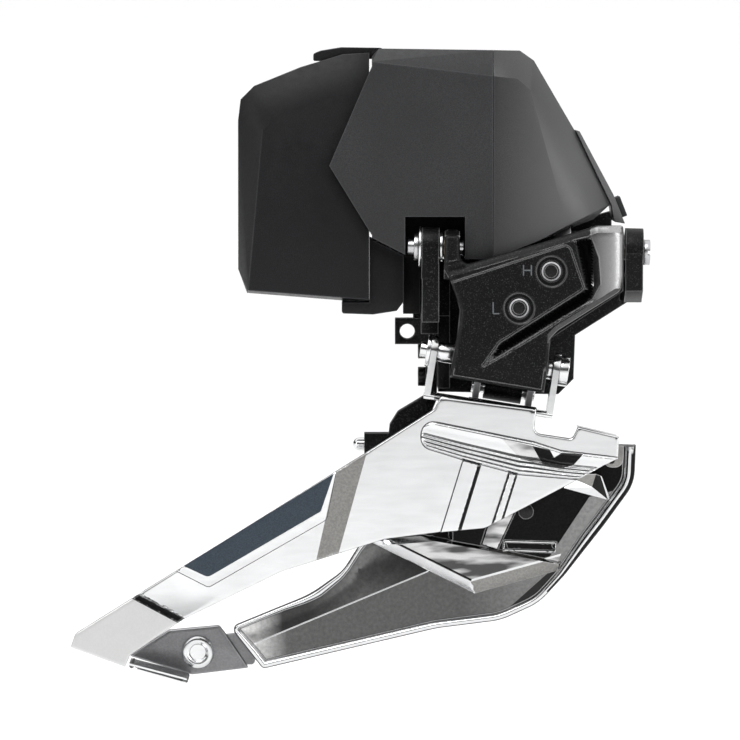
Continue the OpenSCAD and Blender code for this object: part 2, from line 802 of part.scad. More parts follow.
module ramp_rivet() {
  color(steel) {
    rod_y(ramp_rivet_at, inner_plate_y - 1, inner_plate_y + plate_t + 0.6, 1.6);
    rod_y(ramp_rivet_at, inner_plate_y - 1, inner_plate_y - 0.02, 3);
  }
}

module cage_pivot_pin() {
  color(steel) on_lower() {
    rod_x(-14.4, 14.4, pin_d);
    rod_x(-13.2, -12.45, 6.4);
    rod_x(12.65, 14.4, 5.8);
  }
}

module cage_spacers() {
  color(steel) on_lower() {
    ring_x(-11.15, -8, 3.9, ear_bore_d);
    ring_x(10.2, 11.35, 3.9, ear_bore_d);
  }
}

module cage_link_pin() {
  color(steel) on_inner_lower() rod_x(-4.2, 8.2, pin_d);
}

knuckle();
support_bracket();
bracket_screws();
support_screw();
upper_pins();
upper_washers();
inner_link_pin();
inner_housing();
outer_cover();
front_end_cap();
housing_seal();
housing_screws();
module_screws();
battery_foot();
button_panel();
function_button();
led_lens();
circuit_board();
contact_block();
contact_pins();
motor();
gearhead();
gear_plate();
gear_end_plate();
idler_shaft();
drive_pinion();
idler_gear();
latch_lever();
latch_pin();
latch_spring();
battery_case();
battery_lid();
battery_cells();
battery_terminals();
outer_link();
sector_gear();
link_bushings();
limit_screw_high();
limit_screw_low();
inner_link();
inner_link_bushings();
cage_outer_plate();
cage_inner_plate();
cage_front_bridge();
bridge_rivets();
tail_bracket();
tail_rivet();
cage_panel();
cage_pivot_pin();
cage_spacers();
cage_link_pin();
ramp_rivet();
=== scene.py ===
import json
import math

import bmesh
import bpy
import numpy as np
from mathutils import Matrix, Vector
from mathutils.geometry import delaunay_2d_cdt


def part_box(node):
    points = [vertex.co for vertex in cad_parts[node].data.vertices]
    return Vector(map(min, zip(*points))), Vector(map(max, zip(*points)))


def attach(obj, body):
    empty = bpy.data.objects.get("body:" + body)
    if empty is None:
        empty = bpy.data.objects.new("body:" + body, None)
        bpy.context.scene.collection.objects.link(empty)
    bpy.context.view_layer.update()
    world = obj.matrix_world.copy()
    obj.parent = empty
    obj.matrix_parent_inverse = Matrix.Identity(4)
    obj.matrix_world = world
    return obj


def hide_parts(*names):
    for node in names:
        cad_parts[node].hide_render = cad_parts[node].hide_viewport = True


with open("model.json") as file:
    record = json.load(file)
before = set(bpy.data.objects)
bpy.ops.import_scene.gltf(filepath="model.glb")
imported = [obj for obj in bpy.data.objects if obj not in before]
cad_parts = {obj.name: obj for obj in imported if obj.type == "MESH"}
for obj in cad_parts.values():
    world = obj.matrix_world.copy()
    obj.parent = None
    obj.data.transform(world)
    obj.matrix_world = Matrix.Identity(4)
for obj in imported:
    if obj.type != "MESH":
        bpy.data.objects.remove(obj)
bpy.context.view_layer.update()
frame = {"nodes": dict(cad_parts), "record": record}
MM = 0.001


# ---------- camera, floor and light ----------

FOCUS = Vector((-25.96, -31.0, -3.85)) * MM
CAMERA_DISTANCE = 1.1
CAMERA_ELEVATION = 3.0
FIELD_WIDTH = 0.1423
SENSOR = 36.0


def add_camera():
    data = bpy.data.cameras.new("camera")
    camera = bpy.data.objects.new("camera", data)
    bpy.context.scene.collection.objects.link(camera)
    tilt = math.radians(CAMERA_ELEVATION)
    back = Vector((0, -math.cos(tilt), math.sin(tilt)))
    camera.location = FOCUS + back * CAMERA_DISTANCE
    camera.rotation_mode = "QUATERNION"
    camera.rotation_quaternion = (-back).to_track_quat("-Z", "Y")
    data.sensor_width = SENSOR
    data.lens = CAMERA_DISTANCE * SENSOR / FIELD_WIDTH
    data.clip_start = 0.01
    data.clip_end = 20
    bpy.context.scene.camera = camera


def new_mesh(name, verts, faces):
    mesh = bpy.data.meshes.new(name)
    mesh.from_pydata(verts, [], faces)
    mesh.update()
    obj = bpy.data.objects.new(name, mesh)
    bpy.context.scene.collection.objects.link(obj)
    return obj


FLOOR_Z = -0.085
BOWL_RADIUS = 4.0
BOWL_BEND = 1.2
BOWL_TOP = 0.35
BOWL_STEPS = 10
BOWL_SPOKES = 96


def add_backdrop():
    """A pale round floor whose edge sweeps up a little all round."""
    flat_radius = BOWL_RADIUS - BOWL_BEND
    rings = [(0.6, FLOOR_Z), (1.4, FLOOR_Z), (flat_radius, FLOOR_Z)]
    for t in (i / BOWL_STEPS for i in range(1, BOWL_STEPS + 1)):
        rings.append((flat_radius + BOWL_BEND * t, FLOOR_Z + (BOWL_TOP - FLOOR_Z) * t * t))
    turns = [2 * math.pi * k / BOWL_SPOKES for k in range(BOWL_SPOKES)]
    verts = [(0, 0, FLOOR_Z)]
    for radius, z in rings:
        verts.extend((radius * math.cos(a), radius * math.sin(a), z) for a in turns)
    spokes = [(k, (k + 1) % BOWL_SPOKES) for k in range(BOWL_SPOKES)]
    faces = [(0, 1 + k, 1 + after) for k, after in spokes]
    for r in range(len(rings) - 1):
        here, there = 1 + r * BOWL_SPOKES, 1 + (r + 1) * BOWL_SPOKES
        faces.extend((here + k, there + k, there + after, here + after) for k, after in spokes)
    floor = new_mesh("floor", verts, faces)
    for p in floor.data.polygons:
        p.use_smooth = True
    mat = bpy.data.materials.new("floor_white")
    mat.use_nodes = True
    shader = mat.node_tree.nodes["Principled BSDF"]
    shader.inputs["Base Color"].default_value = (0.93, 0.93, 0.93, 1)
    shader.inputs["Roughness"].default_value = 0.9
    shader.inputs["Specular IOR Level"].default_value = 0.1
    floor.data.materials.append(mat)


LAMP_AIM = Vector((-0.02, -0.02, 0))
LAMPS = (
    # name, place, width, height and power
    ("key_top", (-0.25, -0.45, 0.85), 0.6, 0.6, 6),
    ("side_right", (0.95, -0.75, 0.35), 0.35, 0.8, 5),
    ("side_left", (-1.1, -0.6, 0.3), 0.3, 0.8, 3),
)
# brightness of the sky against height, from straight down to straight up
SKY_STOPS = ((0.0, 0.7), (0.07, 0.55), (0.12, 0.05), (0.42, 0.05), (0.62, 1.0), (1.0, 1.0))
SKY_STRENGTH = 1.45


def add_lamp(name, at, width, height, power):
    data = bpy.data.lights.new(name, "AREA")
    data.energy = power
    data.shape = "RECTANGLE"
    data.size = width
    data.size_y = height
    light = bpy.data.objects.new(name, data)
    light.location = at
    light.rotation_mode = "QUATERNION"
    light.rotation_quaternion = (LAMP_AIM - Vector(at)).to_track_quat("-Z", "Y")
    bpy.context.scene.collection.objects.link(light)


def set_stops(ramp, stops, blue=1.0):
    """Greys for a colour ramp; stops are (position, level)."""
    elements = ramp.color_ramp.elements
    while len(elements) < len(stops):
        elements.new(0.5)
    for element, (position, level) in zip(elements, stops):
        element.position = position
        element.color = (level, level, level * blue, 1)


def add_lights():
    """A studio dome: bright overhead, with a dark band above the horizon for the metal to pick up."""
    world = bpy.data.worlds.new("studio")
    world.use_nodes = True
    tree = world.node_tree
    background = tree.nodes["Background"]
    place = tree.nodes.new("ShaderNodeTexCoord")
    parts = tree.nodes.new("ShaderNodeSeparateXYZ")
    ramp = tree.nodes.new("ShaderNodeValToRGB")
    tree.links.new(place.outputs["Generated"], parts.inputs[0])
    tree.links.new(parts.outputs["Z"], ramp.inputs["Fac"])
    tree.links.new(ramp.outputs["Color"], background.inputs["Color"])
    set_stops(ramp, SKY_STOPS)
    background.inputs["Strength"].default_value = SKY_STRENGTH
    bpy.context.scene.world = world
    bpy.context.scene.view_settings.view_transform = "Standard"
    for lamp in LAMPS:
        add_lamp(*lamp)


# ---------- materials ----------

MATERIALS = {}


class Nodes:
    """A new material, with short names for building its node tree."""

    def __init__(self, name):
        material = bpy.data.materials.new(name)
        material.use_nodes = True
        MATERIALS[name] = material
        self.tree = material.node_tree
        self.shader = self.tree.nodes["Principled BSDF"]
        self.place = self.add("ShaderNodeTexCoord").outputs["Object"]

    def add(self, kind, sockets=None, **values):
        """A node, with its sockets set to values or linked to other sockets."""
        node = self.tree.nodes.new(kind)
        for key, value in values.items():
            setattr(node, key, value)
        for socket, value in (sockets or {}).items():
            if isinstance(value, bpy.types.NodeSocket):
                self.link(value, node.inputs[socket])
            else:
                node.inputs[socket].default_value = value
        return node

    def link(self, source, target):
        self.tree.links.new(source, target)

    def noise(self, scale, detail=4.0, rough=0.5, stretch=None):
        place = self.place
        if stretch:
            place = self.add("ShaderNodeMapping", {"Vector": place, "Scale": stretch}).outputs["Vector"]
        sockets = {"Vector": place, "Scale": scale, "Detail": detail, "Roughness": rough}
        return self.add("ShaderNodeTexNoise", sockets).outputs["Fac"]

    def ramp(self, source, low, high, start=0.0, end=1.0):
        sockets = {"Value": source, "From Min": low, "From Max": high, "To Min": start, "To Max": end}
        return self.add("ShaderNodeMapRange", sockets).outputs["Result"]

    def mix(self, factor, a, b):
        a, b = ((*c, 1) if isinstance(c, tuple) else c for c in (a, b))
        return self.add("ShaderNodeMix", {0: factor, 6: a, 7: b}, data_type="RGBA").outputs[2]

    def along_x(self, start, end):
        """0 to 1 between two X values in millimetres."""
        parts = self.add("ShaderNodeSeparateXYZ", {0: self.place})
        return self.ramp(parts.outputs["X"], start * MM, end * MM)

    def fade(self, base, stops):
        """Turns to another colour along X; stops are (start X, end X in mm, colour)."""
        if not stops:
            return base
        start, end, colour = stops
        return self.mix(self.along_x(start, end), base, colour)

    def worn_and_lit_edges(self, base, radius, share, colour):
        """A colour that gives way to another, by a share, along convex and concave edges: partly wear, partly
        a painted edge highlight.
        """
        bevel = self.add("ShaderNodeBevel", {"Radius": radius}, samples=4)
        geometry = self.add("ShaderNodeNewGeometry")
        normals = {0: bevel.outputs["Normal"], 1: geometry.outputs["Normal"]}
        dot = self.add("ShaderNodeVectorMath", normals, operation="DOT_PRODUCT")
        edge = self.ramp(dot.outputs["Value"], 0.999, 0.93)
        amount = self.add("ShaderNodeMath", {0: edge, 1: share}, operation="MULTIPLY")
        return self.mix(amount.outputs[0], base, colour)

    def bump(self, height, strength, distance):
        node = self.add("ShaderNodeBump", {"Height": height, "Strength": strength, "Distance": distance})
        self.link(node.outputs["Normal"], self.shader.inputs["Normal"])

    def colour(self, source):
        self.link(source, self.shader.inputs["Base Color"])

    def rough(self, cloud, low, high):
        """Roughness between two values, following a noise."""
        self.link(self.ramp(cloud, 0.3, 0.7, low, high), self.shader.inputs["Roughness"])

    def metal(self, value=1.0):
        self.shader.inputs["Metallic"].default_value = value

    def gloss(self, value):
        self.shader.inputs["Specular IOR Level"].default_value = value


def grey(level):
    return (level, level, level)


def plastic(name, dark, light, roughness, gloss=0.2, edge_wear_and_sheen=(0.09, 0.09, 0.095), fade=None):
    """Moulded plastic, with paler edges, partly wear and partly a painted edge highlight."""
    m = Nodes(name)
    speck = m.noise(5200.0, 2.0, 0.6)
    cloud = m.noise(60.0, 3.0)
    base = m.mix(m.ramp(speck, 0.35, 0.65), dark, light)
    base = m.mix(m.ramp(cloud, 0.3, 0.7, 0.0, 0.5), base, dark)
    base = m.fade(base, fade)
    m.colour(m.worn_and_lit_edges(base, 0.0004, 0.35, edge_wear_and_sheen))
    m.rough(m.noise(900.0, 3.0), roughness - 0.05, roughness + 0.06)
    m.bump(speck, 0.35, 0.00002)
    m.gloss(gloss)


def anodised(name, dark, light, roughness, metal=0.3, gloss=0.2, edge_wear_and_sheen=0.25, fade=None):
    m = Nodes(name)
    blast = m.noise(3800.0, 3.0, 0.7)
    fine = m.noise(9000.0, 1.0)
    base = m.mix(m.ramp(blast, 0.55, 0.72), dark, light)
    base = m.fade(base, fade)
    # The bright edges are partly wear, partly a painted edge highlight.
    m.colour(m.worn_and_lit_edges(base, 0.0003, 0.6, grey(edge_wear_and_sheen)))
    m.metal(metal)
    m.rough(fine, roughness - 0.07, roughness + 0.07)
    m.bump(blast, 0.5, 0.00003)
    m.gloss(gloss)


def polished(name, tint, roughness, streak=0.10):
    m = Nodes(name)
    lines = m.noise(900.0, 4.0, 0.6, (0.15, 1.0, 1.0))
    smear = m.noise(120.0, 3.0)
    dark = tuple(c * 0.92 for c in tint)
    m.colour(m.mix(m.ramp(lines, 0.35, 0.65), dark, tint))
    m.metal()
    m.rough(smear, roughness, roughness + streak)
    m.bump(lines, 0.08, 0.000004)


def satin(name, tint, roughness, peened=1.0):
    m = Nodes(name)
    peen = m.noise(2600.0, 3.0, 0.6)
    dark = tuple(c * (1 - 0.35 * peened) for c in tint)
    base = m.mix(m.ramp(peen, 0.35, 0.65), dark, tint)
    # The pale edges are partly wear, partly a painted edge highlight.
    m.colour(m.worn_and_lit_edges(base, 0.0003, 0.5, (0.75, 0.75, 0.76)))
    m.metal()
    m.rough(m.noise(500.0), roughness - 0.05, roughness + 0.08)
    m.bump(peen, 0.35 * peened, 0.00003)


def graded(name, stops, roughness):
    """Peened steel whose tone changes along X: painted reflection and painted shade; stops are (X in mm,
    tone).
    """
    m = Nodes(name)
    peen = m.noise(1500.0, 3.0, 0.6)
    low, high = stops[0][0], stops[-1][0]
    tone = m.add("ShaderNodeValToRGB")
    m.link(m.along_x(low, high), tone.inputs["Fac"])
    set_stops(tone, [((x - low) / (high - low), level) for x, level in stops], 0.99)
    base = m.mix(m.ramp(peen, 0.3, 0.7, 0.0, 0.35), tone.outputs["Color"], (0.02, 0.02, 0.02))
    m.colour(base)
    m.metal()
    m.rough(m.noise(500.0), roughness - 0.05, roughness + 0.08)
    m.bump(peen, 0.3, 0.00003)


def streaked(name, dark, light, roughness):
    """Polished steel with soft bands across it: painted reflection streaks."""
    m = Nodes(name)
    turned = {"Vector": m.place, "Rotation": (0, math.radians(-20), 0), "Scale": (0.35, 1.0, 1.6)}
    m.place = m.add("ShaderNodeMapping", turned).outputs["Vector"]
    bands = m.noise(330.0, 2.0, 0.5)
    m.colour(m.mix(m.ramp(bands, 0.42, 0.62), dark, light))
    m.metal()
    m.rough(m.noise(400.0), roughness, roughness + 0.08)
    m.bump(bands, 0.15, 0.00005)


def painted(name, tint, roughness):
    m = Nodes(name)
    flake = m.noise(7000.0, 1.0)
    lighter = tuple(c * 1.5 + 0.01 for c in tint)
    m.colour(m.mix(m.ramp(flake, 0.4, 0.7), tint, lighter))
    m.rough(m.noise(800.0), roughness - 0.05, roughness + 0.05)
    m.bump(flake, 0.1, 0.00001)
    m.gloss(0.3)


def board_material(name):
    m = Nodes(name)
    tracks = m.noise(700.0, 0.0, 0.5, (1.0, 1.0, 0.12))
    m.colour(m.mix(m.ramp(tracks, 0.49, 0.51), (0.01, 0.10, 0.04), (0.03, 0.2, 0.08)))
    m.rough(m.noise(900.0), 0.25, 0.4)
    m.bump(tracks, 0.2, 0.00003)


def lens_material(name):
    m = Nodes(name)
    haze = m.noise(1500.0, 2.0)
    m.colour(m.mix(m.ramp(haze, 0.3, 0.7), (0.7, 0.75, 0.72), (0.85, 0.9, 0.87)))
    m.rough(haze, 0.08, 0.2)
    m.bump(haze, 0.1, 0.00001)


anodised("anodised_black", (0.0025, 0.0025, 0.0026), (0.045, 0.045, 0.047), 0.42, 0.3, 0.14)
# The lobe's anodising fades lighter along X as a painted highlight.
anodised("anodised_gloss", grey(0.004), grey(0.06), 0.30, 0.9, 0.3, fade=(15.0, 21.0, grey(0.32)))
# A lighter copy of the anodising for a strip inside the link's lower right edge: painted light on a lit side.
anodised("anodised_lit_side", grey(0.05), grey(0.12), 0.35, 0.7, 0.3)
anodised("black_screw", grey(0.006), grey(0.05), 0.28, 0.5, 0.4, 0.5)
plastic("dark_plastic", (0.014, 0.0142, 0.015), (0.030, 0.0305, 0.032), 0.48)
plastic("rubber_seal", grey(0.005), grey(0.012), 0.7, 0.15)
plastic("gear_nylon", (0.50, 0.46, 0.36), (0.60, 0.56, 0.46), 0.45, 0.4, edge_wear_and_sheen=(0.7, 0.68, 0.6))
plastic("battery_shell", (0.005, 0.005, 0.0055), (0.012, 0.012, 0.013), 0.42, 0.13)
# The cap's plastic turns lighter towards +X as a painted sheen.
plastic("cap_shell", (0.014, 0.014, 0.0145), (0.030, 0.030, 0.031), 0.38, 0.3,
        fade=(-2.5, 14, (0.085, 0.085, 0.086)))
# Near-black plastic for the link's groove: painted shade.
plastic("pit_shade", grey(0.0012), grey(0.003), 0.5, 0.02, edge_wear_and_sheen=grey(0.003))
polished("polished_steel", (0.635, 0.64, 0.645), 0.12)
polished("rim_steel", (0.42, 0.42, 0.43), 0.2)
polished("gold_contact", (0.85, 0.62, 0.25), 0.15)
streaked("ramp_steel", grey(0.07), grey(0.52), 0.18)
satin("satin_steel", (0.20, 0.20, 0.205), 0.36, 0.6)
satin("satin_band", (0.27, 0.265, 0.255), 0.42, 0.7)
satin("satin_tail", grey(0.57), 0.42, 0.12)
satin("steel_shadow", grey(0.012), 0.35)
satin("bronze", (0.42, 0.29, 0.15), 0.35)
satin("cell_wrap", (0.50, 0.56, 0.62), 0.4)
# Two copies of the inner plate's steel, the second darker as painted shade; both carry painted reflections
# along X.
graded("inner_satin", ((-53, 1.0), (-48.5, 0.7), (-42, 0.13), (-8, 0.12), (8, 0.24), (24, 0.34)), 0.38)
graded("inner_satin_shaded",
       ((-53, 1.0), (-48, 0.5), (-43, 0.05), (-38, 0.05), (-28, 0.16), (-20, 0.08), (-14, 0.03)), 0.34)
painted("graphite_panel", (0.014, 0.022, 0.032), 0.35)
painted("mark_paint", (0.07, 0.075, 0.08), 0.5)
board_material("board")
lens_material("lens")


def smooth_by_angle(limit):
    """Geometry nodes: shade smooth, with edges sharper than the limit kept sharp."""
    tree = bpy.data.node_groups.new("smooth_by_angle", "GeometryNodeTree")
    tree.interface.new_socket("Geometry", in_out="INPUT", socket_type="NodeSocketGeometry")
    tree.interface.new_socket("Geometry", in_out="OUTPUT", socket_type="NodeSocketGeometry")
    start = tree.nodes.new("NodeGroupInput")
    end = tree.nodes.new("NodeGroupOutput")
    faces = tree.nodes.new("GeometryNodeSetShadeSmooth")
    faces.domain = "FACE"
    edges = tree.nodes.new("GeometryNodeSetShadeSmooth")
    edges.domain = "EDGE"
    angle = tree.nodes.new("GeometryNodeInputMeshEdgeAngle")
    compare = tree.nodes.new("FunctionNodeCompare")
    compare.operation = "LESS_EQUAL"
    compare.inputs["B"].default_value = limit
    tree.links.new(start.outputs[0], faces.inputs["Geometry"])
    tree.links.new(faces.outputs["Geometry"], edges.inputs["Geometry"])
    tree.links.new(angle.outputs["Unsigned Angle"], compare.inputs["A"])
    tree.links.new(compare.outputs["Result"], edges.inputs["Shade Smooth"])
    tree.links.new(edges.outputs["Geometry"], end.inputs[0])
    return tree


SMOOTH_LIMIT = 32
CAD_BEVEL_LIMIT = 30
PIECE_BEVEL_LIMIT = 50
SMOOTH = smooth_by_angle(math.radians(SMOOTH_LIMIT))


def smooth(obj):
    obj.modifiers.new("smooth", "NODES").node_group = SMOOTH


def add_bevel(obj, width, limit):
    """Rounds the edges that are sharper than the limit; the width is in millimetres."""
    bevel = obj.modifiers.new("bevel", "BEVEL")
    bevel.width = width * MM
    bevel.segments = 2
    bevel.limit_method = "ANGLE"
    bevel.angle_limit = math.radians(limit)


def soften(obj, width):
    """Welds a CAD node, rounds its sharp edges and smooths its shading, all as modifiers."""
    weld = obj.modifiers.new("weld", "WELD")
    weld.merge_threshold = 2e-6
    merge = obj.modifiers.new("flat", "DECIMATE")
    merge.decimate_type = "DISSOLVE"
    merge.angle_limit = math.radians(0.4)
    add_bevel(obj, width, CAD_BEVEL_LIMIT)
    smooth(obj)


def finish_mesh(obj, width=0.0):
    """Rounds a piece's sharp edges where asked and smooths its shading."""
    if width:
        add_bevel(obj, width, PIECE_BEVEL_LIMIT)
    smooth(obj)


# ---------- outline and relief tools ----------
# Outlines are drawn in the XZ plane, in millimetres; a relief's heights are Y values.

def rounded(corners, steps=6):
    """A closed outline. Each corner is (x, z) or (x, z, radius)."""
    points = []
    n = len(corners)
    for i, corner in enumerate(corners):
        here = Vector(corner[:2])
        radius = corner[2] if len(corner) > 2 else 0
        if radius == 0:
            points.append(tuple(here))
            continue
        before = (Vector(corners[i - 1][:2]) - here).normalized()
        after = (Vector(corners[(i + 1) % n][:2]) - here).normalized()
        half = before.angle(after) / 2
        reach = radius / math.tan(half)
        centre = here + (before + after).normalized() * (radius / math.sin(half))
        start = here + before * reach - centre
        end = here + after * reach - centre
        turn = start.angle_signed(end)
        for k in range(steps + 1):
            a = -turn * k / steps
            points.append((centre.x + start.x * math.cos(a) - start.y * math.sin(a),
                           centre.y + start.x * math.sin(a) + start.y * math.cos(a)))
    return np.array(points)


def circle(centre, radius, count=32):
    turns = np.linspace(0, 2 * math.pi, count, endpoint=False)
    return np.stack([centre[0] + radius * np.cos(turns), centre[1] + radius * np.sin(turns)], 1)


def resample(line, step, closed=True):
    """Points along a line, no further apart than step."""
    line = np.asarray(line, float)
    ends = np.roll(line, -1, 0) if closed else line[1:]
    points = []
    for a, b in zip(line, ends):
        count = max(1, math.ceil(np.linalg.norm(b - a) / step))
        points.extend(a + (b - a) * k / count for k in range(count))
    if not closed:
        points.append(line[-1])
    return np.array(points)


def distance(points, line, closed=True):
    """Distance from each point to a line."""
    line = np.asarray(line, float)
    ends = np.roll(line, -1, 0) if closed else line[1:]
    best = np.full(len(points), np.inf)
    for a, b in zip(line, ends):
        along = b - a
        t = np.clip(((points - a) @ along) / max(along @ along, 1e-12), 0, 1)
        best = np.minimum(best, np.linalg.norm(points - a - t[:, None] * along, axis=1))
    return best


def inside(points, outline):
    outline = np.asarray(outline, float)
    x, z = points[:, 0], points[:, 1]
    odd = np.zeros(len(points), bool)
    for (ax, az), (bx, bz) in zip(outline, np.roll(outline, -1, 0)):
        if az == bz:
            continue
        crosses = (az > z) != (bz > z)
        odd ^= crosses & (x < (bx - ax) * (z - az) / (bz - az) + ax)
    return odd


def depth(points, outline):
    """How far inside the outline each point lies; negative outside."""
    away = distance(points, outline)
    return np.where(inside(points, outline), away, -away)


def side(points, a, b):
    """Signed distance to the line through a and b, positive on its left."""
    a, b = np.array(a, float), np.array(b, float)
    along = (b - a) / np.linalg.norm(b - a)
    away = points - a
    return along[0] * away[:, 1] - along[1] * away[:, 0]


def direction_of(a, b):
    """The unit vector from a to b."""
    along = np.subtract(b, a)
    return along / np.linalg.norm(along)


def ease(value, width):
    """0 to 1, smoothly, as value goes from 0 to width."""
    t = np.clip(value / width, 0, 1)
    return t * t * (3 - 2 * t)


def edge_round(d, radius):
    """How far a rounded edge falls back at depth d from it."""
    t = np.clip(1 - d / radius, 0, 1)
    return radius * (1 - np.sqrt(1 - t * t * 0.98))


def curve(value, stops):
    """A smooth curve through (value, height) stops."""
    xs = np.array([s[0] for s in stops], float)
    ys = np.array([s[1] for s in stops], float)
    i = np.clip(np.searchsorted(xs, value) - 1, 0, len(xs) - 2)
    t = np.clip((value - xs[i]) / (xs[i + 1] - xs[i]), 0, 1)
    t = t * t * (3 - 2 * t)
    return ys[i] + (ys[i + 1] - ys[i]) * t


def offset_points(line, d, closed=True):
    """Points moved d to the left of a line."""
    line = np.asarray(line, float)
    if closed:
        along = np.roll(line, -1, 0) - np.roll(line, 1, 0)
    else:
        along = np.gradient(line, axis=0)
    along = along / np.maximum(np.linalg.norm(along, axis=1), 1e-9)[:, None]
    return line + d * np.stack([-along[:, 1], along[:, 0]], 1)


def grid_over(outline, step):
    """A square grid over an outline's box."""
    low, high = outline.min(0), outline.max(0)
    x, z = np.meshgrid(np.arange(low[0], high[0], step), np.arange(low[1], high[1], step))
    return np.stack([x.ravel(), z.ravel()], 1)


def within(shape):
    """A mask of the points inside a shape."""
    return lambda p: inside(p, np.array(shape))


def flat_face(y):
    """The height map of a flat face."""
    return lambda p, *front: np.full(len(p), y)


def to_metres(x, y, z):
    return (x * MM, y * MM, z * MM)


CREASE_OFFSETS = (-0.3, -0.13, 0.13, 0.3)


def relief(name, outline, front, back, holes=(), creases=(), rings=(0.12, 0.3, 0.55, 0.9, 1.3), step=0.6,
           paints=(), materials=(), dense=()):
    """A plate whose front and back are height maps, front(points) and back(points, front heights).

    Creases are lines that the mesh follows exactly. Paints are (mask, material index) on the front face.
    Dense lists the (outline, step, hole) of places that need a finer mesh.
    """
    coords, edges = [], []

    def add_line(points, closed):
        first = len(coords)
        coords.extend(Vector(p) for p in points)
        count = len(points)
        edges.extend((first + i, first + (i + 1) % count) for i in range(count if closed else count - 1))

    border = resample(outline, step * 0.8)
    loops = [border, *holes]
    for loop in loops:
        add_line(loop, True)
    for line, closed, *alone in creases:
        crease = line if alone else resample(line, step * 0.6, closed)
        add_line(crease, closed)
        for d in () if alone else CREASE_OFFSETS:
            free = offset_points(crease, d, closed)
            coords.extend(Vector(p) for p in free)
    for d in rings:
        for sign in (1, -1):
            free = offset_points(border, sign * d)
            free = free[depth(free, border) > d * 0.97]
            coords.extend(Vector(p) for p in free)
    if rings:
        grid = grid_over(border, step)
        grid = grid[depth(grid, border) > max(rings) + 0.2]
        for shape, fine, hole in dense:
            grid = grid[~inside(grid, shape)]
            extra = grid_over(shape, fine)
            extra = extra[(depth(extra, shape) > fine * 0.7) & (depth(extra, border) > fine)]
            extra = extra[~inside(extra, hole)]
            coords.extend(Vector(p) for p in extra)
        coords.extend(Vector(p) for p in grid)

    flat, _, faces, _, _, _ = delaunay_2d_cdt(coords, edges, [], 0, 1e-5, False)
    points = np.array([tuple(v) for v in flat])
    faces = np.array(faces)
    centres = points[faces].mean(1)
    keep = inside(centres, border)
    for h in loops[1:]:
        keep &= ~inside(centres, h)
    faces = faces[keep]
    centres = centres[keep]
    used = np.unique(faces)
    renumber = np.full(len(points), -1)
    renumber[used] = np.arange(len(used))
    points, faces = points[used], renumber[faces]
    y_front = front(points)
    y_back = back(points, y_front)
    count = len(points)
    verts = [to_metres(p[0], y, p[1]) for level in (y_front, y_back) for p, y in zip(points, level)]
    all_faces = [tuple(int(i) for i in f) for f in faces]
    all_faces += [tuple(int(i) + count for i in reversed(f)) for f in faces]
    seen = {(f[i], f[(i + 1) % 3]) for f in faces.tolist() for i in range(3)}
    rim = [(a, b) for a, b in seen if (b, a) not in seen]
    all_faces += [(int(b), int(a), int(a) + count, int(b) + count) for a, b in sorted(rim)]
    obj = new_mesh(name, verts, all_faces)
    for m in materials:
        obj.data.materials.append(MATERIALS[m])
    index = np.zeros(len(all_faces), int)
    for mask, material in paints:
        index[:len(faces)][mask(centres)] = material
    obj.data.polygons.foreach_set("material_index", index.astype(np.int32))
    return obj


def moved(obj, matrix):
    """The object's mesh, carried by a matrix given in millimetres."""
    scale = Matrix.Scale(MM, 4)
    obj.data.transform(scale @ matrix @ scale.inverted())
    if matrix.determinant() < 0:
        obj.data.flip_normals()
    return obj


def joined(name, parts):
    """One object from several, with their materials."""
    mesh = bpy.data.meshes.new(name)
    work = bmesh.new()
    slots = []
    for part in parts:
        start = len(work.faces)
        work.from_mesh(part.data)
        work.faces.ensure_lookup_table()
        names = [m.name for m in part.data.materials]
        for m in names:
            if m not in slots:
                slots.append(m)
        for face in work.faces[start:]:
            face.material_index = slots.index(names[face.material_index]) if names else 0
    work.to_mesh(mesh)
    work.free()
    for part in parts:
        bpy.data.objects.remove(part)
    for m in slots:
        mesh.materials.append(bpy.data.materials[m])
    obj = bpy.data.objects.new(name, mesh)
    bpy.context.scene.collection.objects.link(obj)
    return obj


def face_outwards(obj, clean=False):
    """Turns all faces outwards, with doubled points merged where asked."""
    work = bmesh.new()
    work.from_mesh(obj.data)
    if clean:
        bmesh.ops.remove_doubles(work, verts=work.verts, dist=1e-7)
        bmesh.ops.dissolve_degenerate(work, dist=1e-8, edges=work.edges)
    bmesh.ops.recalc_face_normals(work, faces=work.faces)
    work.to_mesh(obj.data)
    work.free()


def lathe(name, profile, material, count=64):
    """A solid of revolution about the Y axis. The profile is (radius, y), from axis to axis or closed."""
    verts, faces = [], []
    closed = profile[0][0] > 0
    for k in range(count):
        a = 2 * math.pi * k / count
        verts.extend(to_metres(r * math.cos(a), y, r * math.sin(a)) for r, y in profile)
    n = len(profile)
    for k in range(count):
        here, there = k * n, (k + 1) % count * n
        for i in range(n if closed else n - 1):
            j = (i + 1) % n
            faces.append((here + i, here + j, there + j, there + i))
    obj = new_mesh(name, verts, faces)
    face_outwards(obj, True)
    obj.data.materials.append(MATERIALS[material])
    return obj


def tube_x(name, x0, x1, outer, inner, material, edge=0.15):
    """A ring or rod along X with softened ends."""
    profile = [(inner, x0), (outer - edge, x0), (outer, x0 + edge), (outer, x1 - edge), (outer - edge, x1),
               (inner, x1)]
    obj = lathe(name, profile, material)
    return moved(obj, Matrix.Rotation(-math.pi / 2, 4, "Z"))


def prism(name, outline, y0, y1, material, holes=()):
    """A plain plate between two Y values, ready for a bevel."""
    return relief(name, outline, flat_face(y0), flat_face(y1), holes, (), (), 50, (), (material,))


def prism_x(name, outline, x0, x1, material, holes=()):
    """A plain plate between two X values; its outline is (y, z)."""
    obj = prism(name, outline, x0, x1, material, holes)
    swap = Matrix(((0, 1, 0, 0), (1, 0, 0, 0), (0, 0, 1, 0), (0, 0, 0, 1)))
    return moved(obj, swap)


